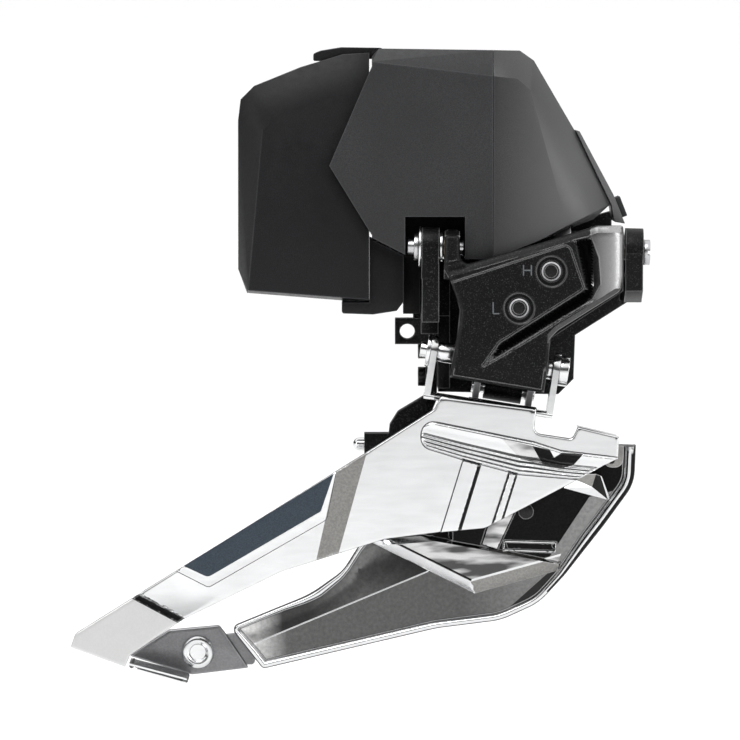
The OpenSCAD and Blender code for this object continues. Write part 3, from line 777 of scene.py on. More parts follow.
def frame_at(at, tilt):
    """The frame of a pivot: its X axis is the pivot axis, in millimetres."""
    return Matrix.Translation(at) @ Matrix.Rotation(math.radians(tilt), 4, "Y")


def place_at(at):
    """A move to an (x, z) place."""
    return Matrix.Translation((at[0], 0, at[1]))


UPPER = frame_at((4.8, -29, 19.25), 1.43)
LOWER = frame_at((-2, -29, -2.1), 8.93)
INNER_LOWER = frame_at((-2, -17, -7.97), 8.93)


def add_piece(name, parts, edge, body, slot, *nodes):
    """One visible piece from its parts, riding a body and standing for CAD nodes."""
    piece = joined(name, parts)
    finish_mesh(piece, edge)
    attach(piece, body)
    if nodes:
        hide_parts(*nodes)


# ---------- cage ----------

PLATE_FRONT = -33.2
SHEET = 1.2
INNER_FRONT = -22.0

OUTER_PLATE = rounded([
    (-12.3, -8.6, 0.5), (6.1, -11.0, 0.3), (5.5, -15.9, 1.4), (12.9, -17.0, 0.9), (14.0, -14.7, 0.2),
    (21.9, -16.6, 0.3), (21.7, -20.7, 0.8), (4.0, -30.1, 4), (-3.9, -34.2, 3), (-12.9, -35.0, 6),
    (-23.1, -36.3, 6), (-42.9, -42.5, 10), (-61.7, -51.7, 6), (-72.1, -58.7), (-73.1, -61.0),
    (-83.6, -57.2, 0.4), (-82.7, -54.6, 1.0), (-26.5, -19.5), (-13.5, -11.2, 1.0)])
TOP_FOLD = [(-12.3, -8.6), (6.1, -11.0)]
STADIUM_TOP = np.array([(-16.3, -13.0), (5.5, -17.4), (10.7, -19.1), (24, -20.7)])
STADIUM_BOTTOM = np.array([(-16.3, -18.6), (-8.3, -21.1), (2.6, -24.0), (24, -25.8)])
STADIUM = rounded([(-16.3, -13.0, 2.6), *STADIUM_TOP[1:], *STADIUM_BOTTOM[:0:-1], (-16.3, -18.6, 2.4)])
RIBS = [
    # top left, top right, bottom right, bottom left, left flank, right flank
    ((-8.1, -20.6), (-4.5, -21.9), (-8.7, -35.6), (-12.7, -35.6), 0.25, 0.8),
    ((0.7, -23.0), (2.6, -23.4), (-0.6, -33.6), (-3.3, -35.4), 0.5, 0.55),
]
RIB_HEIGHT = 0.5
PANEL = rounded([(-32.9, -23.6), (-35.4, -30.9, 0.8), (-57.1, -43.6, 1.5), (-61.8, -41.4)])
BEVEL = rounded([(-31.6, -18.5), (-32.4, -23.4), (-34.2, -32.6, 1.5), (-57.0, -45.7, 1.2), (-63.5, -42.4),
                 (-66.5, -38.5)])
BEVEL_WIDTH = 1.3
BEVEL_HEIGHT = 0.6
BAND = np.array([(-26.4, -19.0), (-32.1, -39.4), (-36.4, -40.8), (-32.4, -22.9)])
STRIPE = np.array([(-70.6, -46.7), (-61.3, -51.7), (-62.6, -52.7), (-72.7, -47.3)])
TAIL = np.array([(-72.7, -47.3), (-62.6, -52.7), (-60, -66), (-90, -66), (-90, -40)])


STADIUM_PROFILE = [(0, 0.0), (0.05, 0.34), (0.12, 0.40), (0.20, 0.28), (0.46, -0.42), (0.54, -0.32),
                   (0.60, -0.02), (0.66, 0.04), (0.72, 0.34), (0.78, 0.40), (0.84, 0.68), (0.90, 0.72),
                   (0.96, 0.62), (1.0, 0.45)]


def stadium_share(p):
    """How far down the emboss a point lies, 0 on its top line and 1 on its bottom line."""
    top = np.interp(p[:, 0], STADIUM_TOP[:, 0], STADIUM_TOP[:, 1])
    bottom = np.interp(p[:, 0], STADIUM_BOTTOM[:, 0], STADIUM_BOTTOM[:, 1])
    return np.clip((top - p[:, 1]) / (top - bottom), 0, 1)


def stadium_line(share):
    """The line of one share, where it lies inside the emboss."""
    x = np.linspace(-18.5, 22.5, 90)
    top = np.interp(x, STADIUM_TOP[:, 0], STADIUM_TOP[:, 1])
    bottom = np.interp(x, STADIUM_BOTTOM[:, 0], STADIUM_BOTTOM[:, 1])
    line = np.stack([x, top * (1 - share) + bottom * share], 1)
    return line[depth(line, STADIUM) > 0.3]


# Patches inside the emboss: the first is a painted dark reflection, the second a painted grey reflection.
STADIUM_DARK = np.array([(5.2, -18.3), (8.6, -19.1), (9.4, -20.6), (10.9, -19.6), (15.0, -19.9),
                         (13.2, -22.0), (11.0, -22.6), (7.2, -21.9)])
STADIUM_GREY = np.array([(-0.6, -17.0), (5.2, -18.3), (7.2, -21.9), (3.0, -20.9)])


def outer_plate_front(p):
    rise = np.zeros(len(p))
    for a, b, c, d, left, right in RIBS:
        from_left = side(p, d, a) * -1
        from_right = side(p, b, c) * -1
        on_rib = (from_left > 0) & (from_right > 0) & (p[:, 1] < -18.5)
        rib = RIB_HEIGHT * ease(from_left, left) * ease(from_right, right)
        rise = np.where(on_rib, np.maximum(rise, rib), rise)
    d = depth(p, STADIUM)
    emboss = curve(stadium_share(p), STADIUM_PROFILE) * ease(d, 0.55)
    rise = np.where(d > -0.01, emboss, rise)
    rise += BEVEL_HEIGHT * np.clip(depth(p, BEVEL) / BEVEL_WIDTH, 0, 1)
    rise -= 0.25 * ease(depth(p, STRIPE), 0.2)
    from_stripe = np.clip(side(p, STRIPE[1], STRIPE[0]) * -1, 0, None)
    above = np.clip(side(p, (-61.7, -51.7), (-72.1, -58.7)) * -1, 0, None)
    rise -= 0.11 * above * np.clip(1 - from_stripe / 9, 0, 1) * (from_stripe > 0) * (p[:, 0] < -50)
    rise -= edge_round(depth(p, OUTER_PLATE), 0.35)
    rise -= edge_round(distance(p, TOP_FOLD, False), 0.9)
    return PLATE_FRONT - rise


def strip_mask(outline, low, high):
    """Marks what lies between two depths inside an outline."""
    return lambda p: (depth(p, outline) > low) & (depth(p, outline) < high)


def flank_mask(a, b, width, sign):
    """Marks a strip beside the line from a to b, clear of the emboss."""
    return lambda p: ((side(p, a, b) * sign > 0) & (side(p, a, b) * sign < width) & (depth(p, STADIUM) < 0)
                      & (p[:, 1] < -20) & (p[:, 0] > -14) & (p[:, 0] < 4))


def outer_plate_mesh():
    creases = [(STADIUM, True), (PANEL, True), (BEVEL, True), (BAND, True), (STRIPE, True),
               (offset_points(STADIUM, -0.22), True), (offset_points(BEVEL, -0.14), True),
               (STADIUM_DARK, True), (STADIUM_GREY, True)]
    creases += [(stadium_line(share), False, True) for share in np.arange(0.44, 0.95, 0.02)]
    folds = np.concatenate([stadium_line(0.42), stadium_line(0.96)[::-1]])
    # Paints: the band and the tail are the steel's own finishes; the stripe, thin strips at the bevel's foot
    # and round the emboss, and the dark zone in the emboss are painted shade, and the grey patch is a painted
    # reflection.
    paints = [(within(BAND), 1), (within(TAIL), 2), (within(STRIPE), 3),
              (strip_mask(BEVEL, 0, 0.14), 3), (strip_mask(STADIUM, 0, 0.2), 3),
              (within(STADIUM_DARK), 3), (within(STADIUM_GREY), 4)]
    for a, b, c, d, left, right in RIBS:
        for line, width, sign in (((d, a), left, -1), ((b, c), right, -1)):
            direction = direction_of(*line)
            normal = np.array((-direction[1], direction[0])) * sign
            creases.append((np.array(line), False))
            creases.append((np.array(line) + normal * width, False))
            # The strips beside the rib flanks are painted dark as a painted dark reflection.
            paints.append((flank_mask(line[0], line[1], width * 0.9, sign), 3))
    return relief("outer_plate_face", OUTER_PLATE, outer_plate_front, lambda p, y: y + SHEET, (), creases,
                  (0.1, 0.22, 0.36, 0.6, 0.9, 1.2), 0.7, paints,
                  ("polished_steel", "satin_band", "satin_tail", "steel_shadow", "ramp_steel"),
                  ((STADIUM, 0.26, folds),))


def lug(name, x0, x1, eye, foot, half, material, hole=1.52):
    """A flat ear with a round eye about the pivot, standing on its foot."""
    turns = np.linspace(math.pi, 0, 17)
    arc = [(eye * math.cos(a), eye * math.sin(a)) for a in turns]
    outline = np.array([(-half[0], foot), *arc, (half[1], foot)])
    return prism_x(name, outline, x0, x1, material, (circle((0, 0), hole),))


def build_outer_plate():
    parts = [outer_plate_mesh()]
    for x0, x1 in ((-12.4, -11.2), (11.4, 12.6)):
        ear = lug("ear", x0, x1, 3.3, -9.2, (3.1, 3.0), "polished_steel")
        parts.append(moved(ear, LOWER))
    for x0, x1, back in ((-10.4, 8.2, 7), (-12.4, 12.6, 3)):
        shelf = rounded([(-3.2, -9.2, 0.3), (-3.2, -8.2, 0.45), (back, -8.2, 0.3), (back, -9.2, 0.3)], 3)
        parts.append(moved(prism_x("shelf", shelf, x0, x1, "polished_steel"), LOWER))
    add_piece("cage_outer_plate_formed", parts, 0.12, "cage", "polished_steel", "cage_outer_plate")


def build_panel():
    def front(p):
        return PLATE_FRONT - BEVEL_HEIGHT - 0.12 + edge_round(depth(p, PANEL), 0.12)
    panel = relief("panel", PANEL, front, flat_face(PLATE_FRONT - BEVEL_HEIGHT),
                   (), (), (0.04, 0.12, 0.3), 1.5, (), ("graphite_panel",))
    add_piece("cage_panel_painted", [panel], 0, "cage", "graphite_panel", "cage_panel")


INNER_PLATE = rounded([
    (-53.2, -54.3, 1.2), (-37.6, -47.9, 22), (-31.3, -43.4, 8), (-28.4, -38.8, 10), (-14.3, -22.2),
    (-8.1, -14.8), (-6.8, -9.4), (5.6, -11.4), (6.0, -17.9), (14.2, -18.3), (25.7, -18.7, 0.5),
    (25.4, -26.4, 8), (19.6, -34.4, 20), (11.9, -44.2, 22), (6.9, -49.6, 11), (-0.5, -53.0, 13),
    (-13.1, -54.6, 24), (-46.8, -62.5, 1.0)])
RIM_LOW = 1.5
RIM_TOP = 0.95
RIM_RIGHT = 2.4
RIM_HEIGHT = 1.15
STEP_LINE = [(-49.5, -58.2), (-14.6, -43.6)]
RAMP = [(-26.5, -37.4), (-5.6, -47.8), (10.6, -43.3), (11.2, -41.6), (-2.6, -38.9), (-16.0, -36.5)]
RAMP_SLOPES = (1.9, 2.6, 0.6, 0.5, 0.5, 1.2)
RAMP_RISE = 1.7
# A zone painted in the shadow finish: painted shade under the outer plate and a painted dark reflection.
SHADE_AND_DARK_REFLECTION = np.array([(-24, -31), (-16.0, -36.5), (-2.6, -38.9), (8.6, -41.1), (16.6, -29.0), (24.4, -27.0),
                   (23.5, -19.5), (0, -19.5)])
WEDGE = np.array([(1.0, -50.6), (9.7, -42.8), (12.2, -42.8), (5.4, -50.3)])
FRAME = np.array([(0.0, -37.4), (10.3, -37.7), (10.2, -39.9), (-0.2, -39.5)])
STRAP = np.array([(-2.9, -33.4), (2.9, -30.6), (-1.2, -39.4), (-4.5, -38.3)])


def inset(corners, widths):
    """The corners of a polygon whose sides have moved in, each by its own width."""
    lines = []
    for a, b, width in zip(corners, corners[1:] + corners[:1], widths):
        along = direction_of(a, b)
        lines.append((np.array(a) + width * np.array((-along[1], along[0])), along))
    points = []
    for (a, u), (b, v) in zip(lines[-1:] + lines[:-1], lines):
        gap = b - a
        points.append(a + u * (gap[0] * v[1] - gap[1] * v[0]) / (u[0] * v[1] - u[1] * v[0]))
    return points


RAMP_TOP = inset(RAMP, RAMP_SLOPES)


def rim_path():
    """The plate's edge from the front corner down, along the bottom and up the rear, with rim widths."""
    border = resample(INNER_PLATE, 0.5)
    hidden = (border[:, 0] > -21) & (border[:, 0] < 24.9) & (border[:, 1] > -31)
    first = np.flatnonzero(~hidden & np.roll(hidden, 1))[0]
    path = np.roll(border, -first, 0)[:np.count_nonzero(~hidden)]
    front = ease(path[:, 0] - 10, 8)
    rear = (side(path, (-53.2, -54.3), (-28.4, -38.8)) > -2.5) & (path[:, 0] < 0)
    width = RIM_LOW + (RIM_RIGHT - RIM_LOW) * front + (RIM_TOP - RIM_LOW) * rear
    width = np.convolve(np.pad(width, 8, mode="edge"), np.full(17, 1 / 17), "valid")
    along = np.gradient(path, axis=0)
    along /= np.linalg.norm(along, axis=1)[:, None]
    return path, np.stack([along[:, 1], -along[:, 0]], 1), width


def rim_line(d):
    """A line d further in than the rim's inner edge."""
    path, inward, width = rim_path()
    return path + inward * (width + d)[:, None]


def closed_mesh(name, verts, faces, finishes, index):
    """A mesh whose faces all look outwards, with a finish for each face."""
    obj = new_mesh(name, verts, faces)
    for finish in finishes:
        obj.data.materials.append(MATERIALS[finish])
    obj.data.polygons.foreach_set("material_index", np.array(index, np.int32))
    face_outwards(obj)
    return obj


def build_rim():
    path, inward, width = rim_path()
    steps = 14
    verts, faces, index = [], [], []
    for at, normal, w in zip(path, inward, width):
        for a in np.linspace(0, math.pi, steps + 1):
            x, z = at + normal * w * (1 - math.cos(a)) / 2
            verts.append(to_metres(x, INNER_FRONT - RIM_HEIGHT * math.sin(a), z))
        for reach in (w, 0):
            x, z = at + normal * reach
            verts.append(to_metres(x, INNER_FRONT + 0.5, z))
    ring = steps + 3
    for i in range(len(path) - 1):
        # Painted light: two rows along the bead take the shadow finish as a painted dark reflection line, and
        # past X 9 more rows are painted shade.
        dark = path[i, 0] > 9
        for k in range(ring):
            a, b = i * ring + k, i * ring + (k + 1) % ring
            faces.append((a, a + ring, b + ring, b))
            index.append(1 if k in (2, 3) or (dark and (1 < k < 6 or k == 8)) else 0)
    last = (len(path) - 1) * ring
    faces += [tuple(range(ring)), tuple(last + k for k in range(ring))]
    index += [0, 0]
    return closed_mesh("rim", verts, faces, ("polished_steel", "steel_shadow"), index)


def inner_plate_front(p):
    border = depth(p, INNER_PLATE)
    up = np.clip(side(p, STEP_LINE[0], STEP_LINE[1]), 0, 6) * (p[:, 0] < -10)
    rise = -(0.07 * up + 0.012 * up ** 2) * ease(border - RIM_LOW, 1.0)
    level = np.full(len(p), 1.0)
    for a, b, width in zip(RAMP, RAMP[1:] + RAMP[:1], RAMP_SLOPES):
        level = np.minimum(level, side(p, a, b) / width)
    ramp = RAMP_RISE * np.clip(level, 0, 1)
    rise = np.where(level > -0.02, np.maximum(rise, ramp), rise)
    rise += 0.45 * (ease(depth(p, FRAME), 0.13) - 1.6 * ease(depth(p, FRAME) - 0.3, 0.13))
    middle = distance(p, [(0.2, -31.5), (-2.8, -39.0)], False)
    rise += (0.8 - 0.05 * middle ** 2) * ease(depth(p, STRAP), 0.3)
    return INNER_FRONT - rise


def inner_plate_mesh():
    creases = [(RAMP, True), (RAMP_TOP, True), (SHADE_AND_DARK_REFLECTION, True), (WEDGE, True), (FRAME, True),
               (offset_points(FRAME, -0.3), True), (STRAP, True)]
    creases += [(rim_line(d), False) for d in (0.0, 0.22)]
    creases += [(offset_points(np.array(STEP_LINE), d, False), False) for d in (0.0, 0.3)]
    lip = np.array(inset(list(RAMP_TOP), (0.45, 0.4, 0.1, 0.1, 0.1, 0.1)))
    creases.append((lip, True))
    facets = [np.array([RAMP[i], RAMP[(i + 1) % 6], RAMP_TOP[(i + 1) % 6], RAMP_TOP[i]]) for i in range(6)]
    shadow_line = rim_line(0.11)
    # Paints: the zone above the step line and the wedge take the darker steel as painted shade; a thin
    # polished strip along the step is a painted highlight; the dark zone and the line at the rim's foot are
    # painted shade; the ramp's facets are painted polished and grey as painted reflections; its top and the
    # strap take the streaked steel as painted reflection; a dark and a polished strip along two sides of its
    # top are painted shade and a painted highlight; the frame's sunk middle is painted shade.
    paints = [(lambda p: (side(p, *STEP_LINE) > 0) & (p[:, 0] < -13), 1),
              (lambda p: (side(p, *STEP_LINE) > 0) & (side(p, *STEP_LINE) < 0.3) & (p[:, 0] > -49)
               & (p[:, 0] < -14.6), 2),
              (within(WEDGE), 1),
              (within(SHADE_AND_DARK_REFLECTION), 3),
              (lambda p: distance(p, shadow_line, False) < 0.13, 3),
              *((within(facets[i]), 2) for i in (0, 4, 5)),
              *((within(facets[i]), 4) for i in (1, 2, 3)),
              (within(RAMP_TOP), 5),
              (within([RAMP_TOP[0], RAMP_TOP[1], lip[1], lip[0]]), 3),
              (within([RAMP_TOP[1], RAMP_TOP[2], lip[2], lip[1]]), 2),
              (within(FRAME), 2), (lambda p: depth(p, FRAME) > 0.3, 3),
              (within(STRAP), 5)]
    body = offset_points(resample(INNER_PLATE, 0.5), -0.18)
    return relief("inner_plate_face", body, inner_plate_front, lambda p, y: np.maximum(y, -22.4) + SHEET,
                  (), creases, (0.2, 0.6), 0.8, paints,
                  ("inner_satin", "inner_satin_shaded", "polished_steel", "steel_shadow", "satin_band", "ramp_steel"))


def build_inner_plate():
    parts = [inner_plate_mesh(), build_rim()]
    for x0, x1 in ((-3.8, -2.6), (6.6, 7.8)):
        turns = np.linspace(-math.pi / 2, math.pi / 2, 15)
        arc = [(2.25 * math.cos(a), 2.25 * math.sin(a)) for a in turns]
        outline = np.array([*arc, (-3.9, 2.25), (-3.9, -4), (-2.4, -4)])
        ear = prism_x("ear", outline, x0, x1, "satin_steel", (circle((0, 0), 1.52),))
        parts.append(moved(ear, INNER_LOWER))
    under = rounded([(-63, -62, 0.8), (-63.4, -57, 0.8), (-48.3, -55.2, 0.8), (-48.3, -61.8, 0.8)])
    parts.append(prism("under", under, -20.78, -19.6, "satin_steel"))
    add_piece("cage_inner_plate_formed", parts, 0, "cage", "satin_steel", "cage_inner_plate")


TAIL_BRACKET = rounded([(-65.0, -54.9, 0.3), (-55.3, -54.0, 0.7), (-54.2, -55.4, 0.5), (-49.5, -62.4, 0.2),
                        (-60.6, -63.7), (-73.0, -60.0, 0.3)])
TAIL_RIVET_AT = (-59.4, -59.2)


def build_tail():
    def front(p):
        d = depth(p, TAIL_BRACKET)
        sag = 0.012 * (p[:, 0] + 61) ** 2
        return INNER_FRONT + edge_round(d, 0.4) + sag * 0.3 + 0.1 * np.clip(-59 - p[:, 1], 0, 4)
    plate = relief("bracket_face", TAIL_BRACKET, front, flat_face(-20.82),
                   (circle(TAIL_RIVET_AT, 1.32),), (), (0.1, 0.2, 0.4, 0.8), 0.8, (), ("satin_steel",))
    lip = prism("lip", rounded([(-72.7, -60.3, 0.2), (-61.3, -63.3, 0.2), (-61.1, -63.7, 0.15),
                                (-72.5, -60.7, 0.15)]), -31.98, -21.5, "polished_steel")
    low = prism("lip_low", rounded([(-71.0, -61.4, 0.15), (-61.3, -64.1, 0.15), (-61.1, -64.4, 0.12),
                                    (-70.9, -61.7, 0.12)]), -31.98, -21.0, "polished_steel")
    # The web between the lips takes the shadow finish: painted shade in the slot.
    web = prism("lip_web", np.array([(-72.2, -60.5), (-61.5, -63.4), (-61.5, -64.1), (-71.2, -61.5)]),
                -29.5, -21.5, "steel_shadow")
    bracket = [plate, lip, low, web]
    # The rolled ends take the shadow finish too: painted shade.
    curl = [(0, -31.9), (0.42, -31.9), (0.5, -31.7), (0.5, -22), (0, -22)]
    for at in ((-71.9, -60.9), (-61.5, -63.8)):
        bracket.append(moved(lathe("curl", curl, "steel_shadow", 24), place_at(at)))
    add_piece("tail_bracket_formed", bracket, 0, "cage", "satin_steel", "tail_bracket")

    dome = [(0, 0.0), (1.5, 0.0), (1.62, -0.12), (1.95, -0.42), (2.35, -0.52), (2.75, -0.4), (3.05, -0.05),
            (3.2, 0.4), (3.2, 0.62), (1.3, 0.62), (1.3, 3.2), (2.3, 3.2), (2.3, 3.6), (1.9, 4.0), (0, 4.1)]
    dome = [(r, y - 22.66) for r, y in dome]
    rivet = moved(lathe("rivet", dome, "polished_steel", 72), place_at(TAIL_RIVET_AT))
    add_piece("tail_rivet_domed", [rivet], 0, "cage", "polished_steel", "tail_rivet")


def folded(name, verts, faces, index, thickness, finishes):
    """A folded sheet: its front faces, a back behind them and walls round the border."""
    count = len(verts)
    points = [to_metres(x, y + back, z) for back in (0, thickness) for x, y, z in verts]
    edges = [(f[k], f[(k + 1) % len(f)]) for f in faces for k in range(len(f))]
    border = [e for e in edges if (e[1], e[0]) not in edges]
    every = list(faces) + [tuple(i + count for i in reversed(f)) for f in faces]
    every += [(b, a, a + count, b + count) for a, b in border]
    return closed_mesh(name, points, every, finishes, [*index, *index, *[0] * len(border)])


def build_bridge():
    """The folded strip that ties the plates at the front, and its guide tab."""
    profile = [(-32.0, -4.2), (-32.0, -0.35), (-31.6, 0.0), (-22.4, 0.0), (-22.02, -0.4), (-22.02, -6.0)]
    inner = [(-31.0, -4.2), (-31.0, -1.0), (-23.0, -1.0), (-23.0, -6.0)]
    section = np.array(profile + inner[::-1])
    strip = prism_x("strip", section, 14.1, 21.7, "polished_steel")
    slope = Matrix.Identity(4)
    slope[2][0] = -0.24
    moved(strip, Matrix.Translation((0, 0, -11.6)) @ slope)
    toe = prism("toe", rounded([(19.2, -19.0), (19.2, -23.2, 1.7), (23.2, -23.2, 1.7), (23.2, -19.0)]),
                -23.1, -22.05, "satin_band")
    verts = [(11.3, -31.0, -26.6), (14.0, -29.5, -25.3), (16.9, -28.0, -26.6), (20.2, -23.4, -29.5),
             (13.2, -31.5, -23.9), (17.6, -29.5, -24.0), (18.5, -28.0, -24.4), (20.6, -23.2, -29.3),
             (18.8, -27.6, -24.6)]
    faces = [(0, 1, 2), (0, 2, 3), (0, 4, 1), (4, 5, 2, 1), (5, 6, 3, 2), (6, 8, 7, 3)]
    # The tab's facets take polished, grey and near-black finishes as painted reflection and painted shade.
    finishes = ("polished_steel", "satin_band", "steel_shadow")
    tab = folded("tab", verts, faces, (0, 0, 0, 1, 2, 0), 0.9, finishes)
    bridge = [strip, toe, tab]
    add_piece("cage_front_bridge_folded", bridge, 0.12, "cage", "polished_steel", "cage_front_bridge")


# ---------- outer link ----------

LINK_OUTLINE = rounded([
    (-10.9, 14.2), (-11.7, 15.6), (-11.7, 22.2, 0.8), (-8.8, 22.2, 0.8), (-8.6, 16.2, 1.6), (6.8, 20.7),
    (17.5, 24.0, 2.0), (22.6, 24.0, 0.6), (22.6, 14.4, 2.5), (22.0, 11.5, 1.5), (10.0, 4.0, 1.5),
    (8.4, 2.3, 1.0), (8.3, -1.3, 0.6), (7.4, -8.1, 0.3), (-10.8, -5.1, 0.3), (-9.9, -0.4),
    (-8.8, 5.2, 1.5), (-8.6, 7.9)])
LINK_TOP = np.array([(-11.7, 15.6), (-8.6, 16.2), (6.8, 20.7), (17.5, 24.0), (22.6, 24.0)])
LINK_FACE = rounded([(-10.6, 13.25), (12.2, 20.7, 1.4), (15.2, 12.0, 1.0), (-1.2, 1.6), (-4.2, -2.7),
                     (-0.9, -0.9), (16.6, 9.8), (24, 14.1), (24, -9.5), (-12.5, -7), (-12.5, 5)])
GROOVE = np.array([(12.4, 21.4), (16.4, 22.0), (18.0, 18.0), (18.4, 12.8), (16.6, 9.8), (-0.9, -0.9),
                   (-4.2, -2.7), (-1.2, 1.6), (15.2, 12.0), (13.4, 20.0)])
SCREW_HIGH = (8.75, 15.25)
SCREW_LOW = (2.6, 8.2)
SCREW_PLACES = (SCREW_HIGH, SCREW_LOW)
HUB_LINE = [(-9.3, 2.2), (-1.5, 1.4)]
PIN_BORE = 2.12
LINK_PLANE = -32.8
LINK_EYES = (
    # frame, start X, end X, radius, edge and the corners of its web
    (UPPER, 7.8, 17.95, 3.5, 0.5,
     [(-4.0, -6, 0.8), (-4.0, 3, 1.0), (0, 4, 1.0), (3, 0, 1.0), (0, -5, 1.0)]),
    (UPPER, -16.45, -13.6, 3.5, 0.5,
     [(-4, -6, 0.8), (-4, 2.4, 0.8), (-2, 3.4, 0.8), (2.6, 0, 0.8), (-2, -6, 0.8)]),
    (LOWER, -7.8, 10, 4.2, 0.4,
     [(-3.9, -3.6, 0.4), (-3.9, 6, 0.8), (-2, 6, 0.8), (4.1, 0, 1.0), (0, -4.1, 1.0)]),
)
LINK_RAILS = (
    # outline and back of each rib behind the face
    ([(-9.6, -1), (-8.7, 7.7), (-10.2, 13.1), (-9.2, 15.6), (-6.6, 15.6), (-6.4, -1)], -28.4),
    ([(6.4, -1.5), (8.4, 2.1), (22.6, 11.4), (22.6, 15), (20.6, 15), (6.4, 5)], -29.5),
)


def link_front(p):
    d = depth(p, LINK_OUTLINE)
    from_top = distance(p, LINK_TOP, False)
    rise = 2.2 + 0.9 * ease(from_top - 0.4, 1.3)
    face = depth(p, LINK_FACE)
    step = 1 - ease(p[:, 0] - 16.0, 1.5)
    rise = np.where(face > -0.01, 3.2 - 0.3 * step * (1 - ease(face, 0.35)),
                    np.minimum(rise, 2.95) + 0.25 * (1 - step))
    groove = depth(p, GROOVE)
    rise = np.where(face > -0.01, rise, rise - 2.3 * ease(groove, 1.6))
    rise -= 1.1 * (np.clip(p[:, 0] - 19.2, 0, None) / 3.4) ** 2
    below = np.clip(-side(p, HUB_LINE[0], (8.5, -0.6)), 0, None)
    rise -= 0.012 * below ** 2 * (p[:, 1] < 3)
    rise += 0.25 * np.exp(-((d - 0.55) / 0.25) ** 2) * (p[:, 1] < -3.4)
    rise -= edge_round(d, 0.8)
    for at in SCREW_PLACES:
        r = np.hypot(p[:, 0] - at[0], p[:, 1] - at[1])
        rise -= 1.3 * (r < 2.88) + 0.12 * np.clip(3.05 - r, 0, 0.17) / 0.17 * (r >= 2.88)
    return LINK_PLANE - rise


def build_outer_link():
    creases = [(LINK_FACE, True), (GROOVE, True), (HUB_LINE, False)]
    for at in SCREW_PLACES:
        creases += [(circle(at, r, 40), True) for r in (2.86, 2.89, 3.06)]
    holes = [circle(at, 2.04, 40) for at in SCREW_PLACES]
    # Paints: the lobe takes the glossy anodising with its painted highlight, a strip inside the lower right
    # edge takes the lighter copy as a painted lit side, and the groove is painted near black as painted
    # shade.
    shell = relief("link_face", LINK_OUTLINE, link_front, flat_face(LINK_PLANE), holes, creases,
                   (0.1, 0.22, 0.4, 0.65, 0.95, 1.3, 1.7), 0.55,
                   ((lambda p: (side(p, (-4.2, -2.7), (18.4, 12.8)) < 0) & (p[:, 0] > 9) & (p[:, 1] > 3), 1),
                    (lambda p: (p[:, 0] > 16.2) & (p[:, 1] > 9.5), 1),
                    (lambda p: (depth(p, LINK_OUTLINE) < 0.95) & (p[:, 0] > 8)
                     & (p[:, 1] < 12) & (p[:, 1] > 1.5), 3),
                    (lambda p: (depth(p, GROOVE) > 0.5) & (p[:, 0] < 16.6), 2)),
                   ("anodised_black", "anodised_gloss", "pit_shade", "anodised_lit_side"))
    parts = [shell]
    for place, x0, x1, radius, edge, corners in LINK_EYES:
        web = prism_x("web", rounded(corners), x0, x1, "anodised_black", (circle((0, 0), PIN_BORE),))
        parts.append(moved(tube_x("eye", x0, x1, radius, PIN_BORE, "anodised_black", edge), place))
        parts.append(moved(web, place))
    for outline, back in LINK_RAILS:
        parts.append(prism("rail", np.array(outline), -32.9, back, "anodised_black"))
    for at in SCREW_PLACES:
        boss = [(2.04, -32.9), (3.5, -32.9), (3.5, -28.3), (3.2, -28), (2.04, -28)]
        parts.append(moved(lathe("boss", boss, "anodised_black"), place_at(at)))
    add_piece("outer_link_forged", parts, 0.12, "outer_link", "anodised_black", "outer_link")


THREAD_PITCH = 0.5
THREAD_RADII = (1.5, 1.8)


def build_limit_screws():
    """Socket-head screws whose rims take a lighter steel than the dark core, a painted highlight; the thread
    is cut as rings.
    """
    screws = (("limit_screw_high", "high_screw", SCREW_HIGH), ("limit_screw_low", "low_screw", SCREW_LOW))
    for node, body, at in screws:
        low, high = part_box(node)
        tip, head = high[1] / MM, low[1] / MM
        profile = [(1.3, head + 1.5), (1.42, head + 0.2), (1.55, head + 0.02), (1.86, head),
                   (1.97, head + 0.12), (1.97, head + 1.9), (1.3, head + 1.9)]
        half = THREAD_PITCH / 2
        turns = range(int((tip - head - 2.6) / half))
        thread = [(THREAD_RADII[k % 2], head + 2.1 + half * k) for k in turns]
        shank = [(0, head + 1.4), (1.3, head + 1.5), (1.5, head + 1.9), *thread, (1.2, tip), (0, tip)]
        parts = [lathe("rim", profile, "rim_steel", 48), lathe("core", shank, "black_screw", 36)]
        parts = [moved(part, place_at(at)) for part in parts]
        add_piece(node + "_turned", parts, 0, body, "black_screw", node)


MARK_WIDTH = 0.24
MARK_FRONT = -36.03
MARK_BACK = -35.95
# left, right, bottom and top of each letter
H_BOX = (3.4, 4.9, 14.5, 16.5)
L_BOX = (-2.4, -1.2, 7.2, 9.4)


def stroke(a, b):
    """One bar of a letter, standing just proud of the face."""
    a, b = np.array(a, float), np.array(b, float)
    along = direction_of(a, b)
    across = np.array((-along[1], along[0])) * MARK_WIDTH / 2
    outline = np.array([a + across, b + across, b - across, a - across])
    return prism("bar", outline, MARK_FRONT, MARK_BACK, "mark_paint")


def build_marks():
    """Generic H and L beside the limit screws."""
    left, right, low, high = H_BOX
    bars = [stroke((x, low), (x, high)) for x in (left, right)]
    bars.append(stroke((left, (low + high) / 2), (right, (low + high) / 2)))
    left, right, low, high = L_BOX
    bars += [stroke((left, low), (left, high)), stroke((left, low), (right, low))]
    add_piece("limit_marks", bars, 0, "outer_link", "anodised_black")


FOOT_OUTLINE = rounded([(-31.4, 6.9, 0.5), (-25.4, 6.7), (-20.8, 7.4, 0.5), (-19.45, 9.2, 0.3),
                        (-19.45, 18.1), (-26.08, 21.3), (-26.08, 9), (-31.4, 9)])


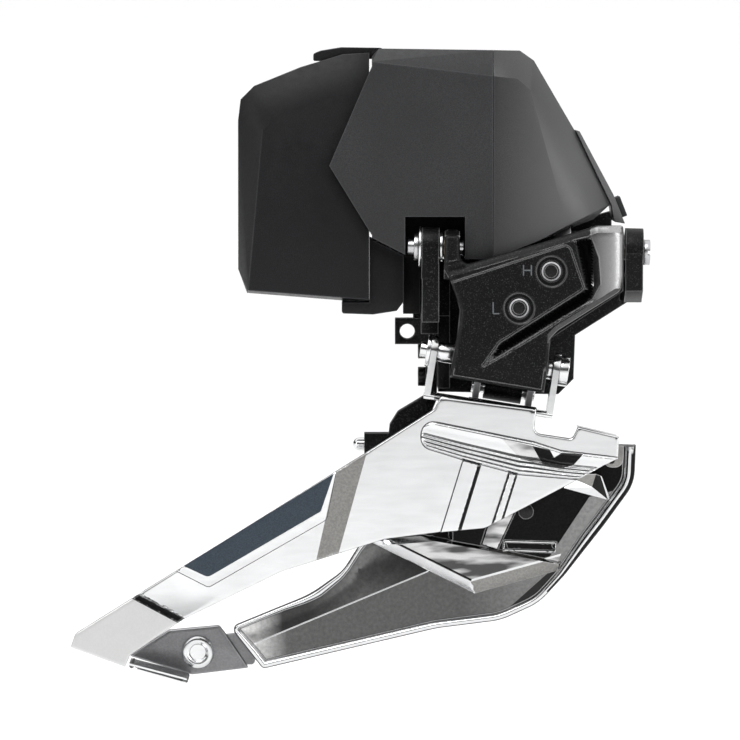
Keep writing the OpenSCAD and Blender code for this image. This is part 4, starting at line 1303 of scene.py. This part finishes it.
def build_foot():
    """The battery's foot, drawn close up to the battery and the column so that no light shows between."""
    foot = prism("foot", FOOT_OUTLINE, -28, -12, "battery_shell")
    add_piece("battery_foot_formed", [foot], 0.3, "root", "dark_plastic", "battery_foot")


LEVER_OUTLINE = rounded([(-36.9, 55.5, 0.3), (-36.9, 56.9, 0.5), (-35.5, 57.5, 1.0), (-31.5, 58.15, 3.0),
                         (-24.3, 58.05), (-24.9, 57.6), (-25.3, 57.2), (-25.3, 55.9, 0.3),
                         (-31.5, 55.8, 2.0), (-35.0, 55.5, 0.3)])
LEVER_MIDDLE = np.array([(-36.4, 55.9), (-36.4, 57.0), (-31.5, 58.1), (-26.0, 58.0),
                         (-26.0, 56.0), (-31.5, 55.9)])
LEVER_PIN = (-24.2, 56.8)
LEVER_SIDES = (-24.9, -13.1)
LEVER_GAP = (-21.0, -17.0)


def build_latch():
    """The latch lever, deep enough to fill the battery's recess, with a hook at its tip."""
    barrel, bore = circle(LEVER_PIN, 1.25, 32), circle(LEVER_PIN, 0.62, 24)
    parts = [prism("middle", LEVER_MIDDLE, *LEVER_GAP, "battery_shell")]
    for y0, y1 in ((LEVER_SIDES[0], LEVER_GAP[0]), (LEVER_GAP[1], LEVER_SIDES[1])):
        parts.append(prism("side", LEVER_OUTLINE, y0, y1, "battery_shell"))
        parts.append(prism("barrel", barrel, y0, y1, "battery_shell", (bore,)))
    add_piece("latch_lever_formed", parts, 0.12, "latch", "dark_plastic", "latch_lever")


# ---------- dress the CAD nodes and build the pieces ----------

SLOT_OF = {s["node"]: s["material_slot"] for s in frame["record"]["subparts"]}
EDGE_WIDTH = {
    "outer_cover": 0.35, "front_end_cap": 0.18, "inner_housing": 0.3, "battery_case": 0.45,
    "battery_lid": 0.4, "knuckle": 0.5, "inner_link": 0.4, "support_bracket": 0.5,
}
DEFAULT_EDGE = 0.12
# The ramp rivet takes the dark screw finish as painted shade.
FINISH = {
    "battery_case": "battery_shell", "battery_lid": "battery_shell", "front_end_cap": "cap_shell",
    "inner_housing": "rubber_seal", "button_panel": "cap_shell", "ramp_rivet": "black_screw",
    "upper_pins": "rim_steel",
}


for node_name, node_object in frame["nodes"].items():
    node_object.data.materials.clear()
    node_object.data.materials.append(MATERIALS[FINISH.get(node_name, SLOT_OF[node_name])])
    soften(node_object, EDGE_WIDTH.get(node_name, DEFAULT_EDGE))

build_outer_plate()
build_panel()
build_inner_plate()
build_tail()
build_bridge()
build_outer_link()
build_limit_screws()
build_marks()
build_foot()
build_latch()

add_camera()
add_backdrop()
add_lights()
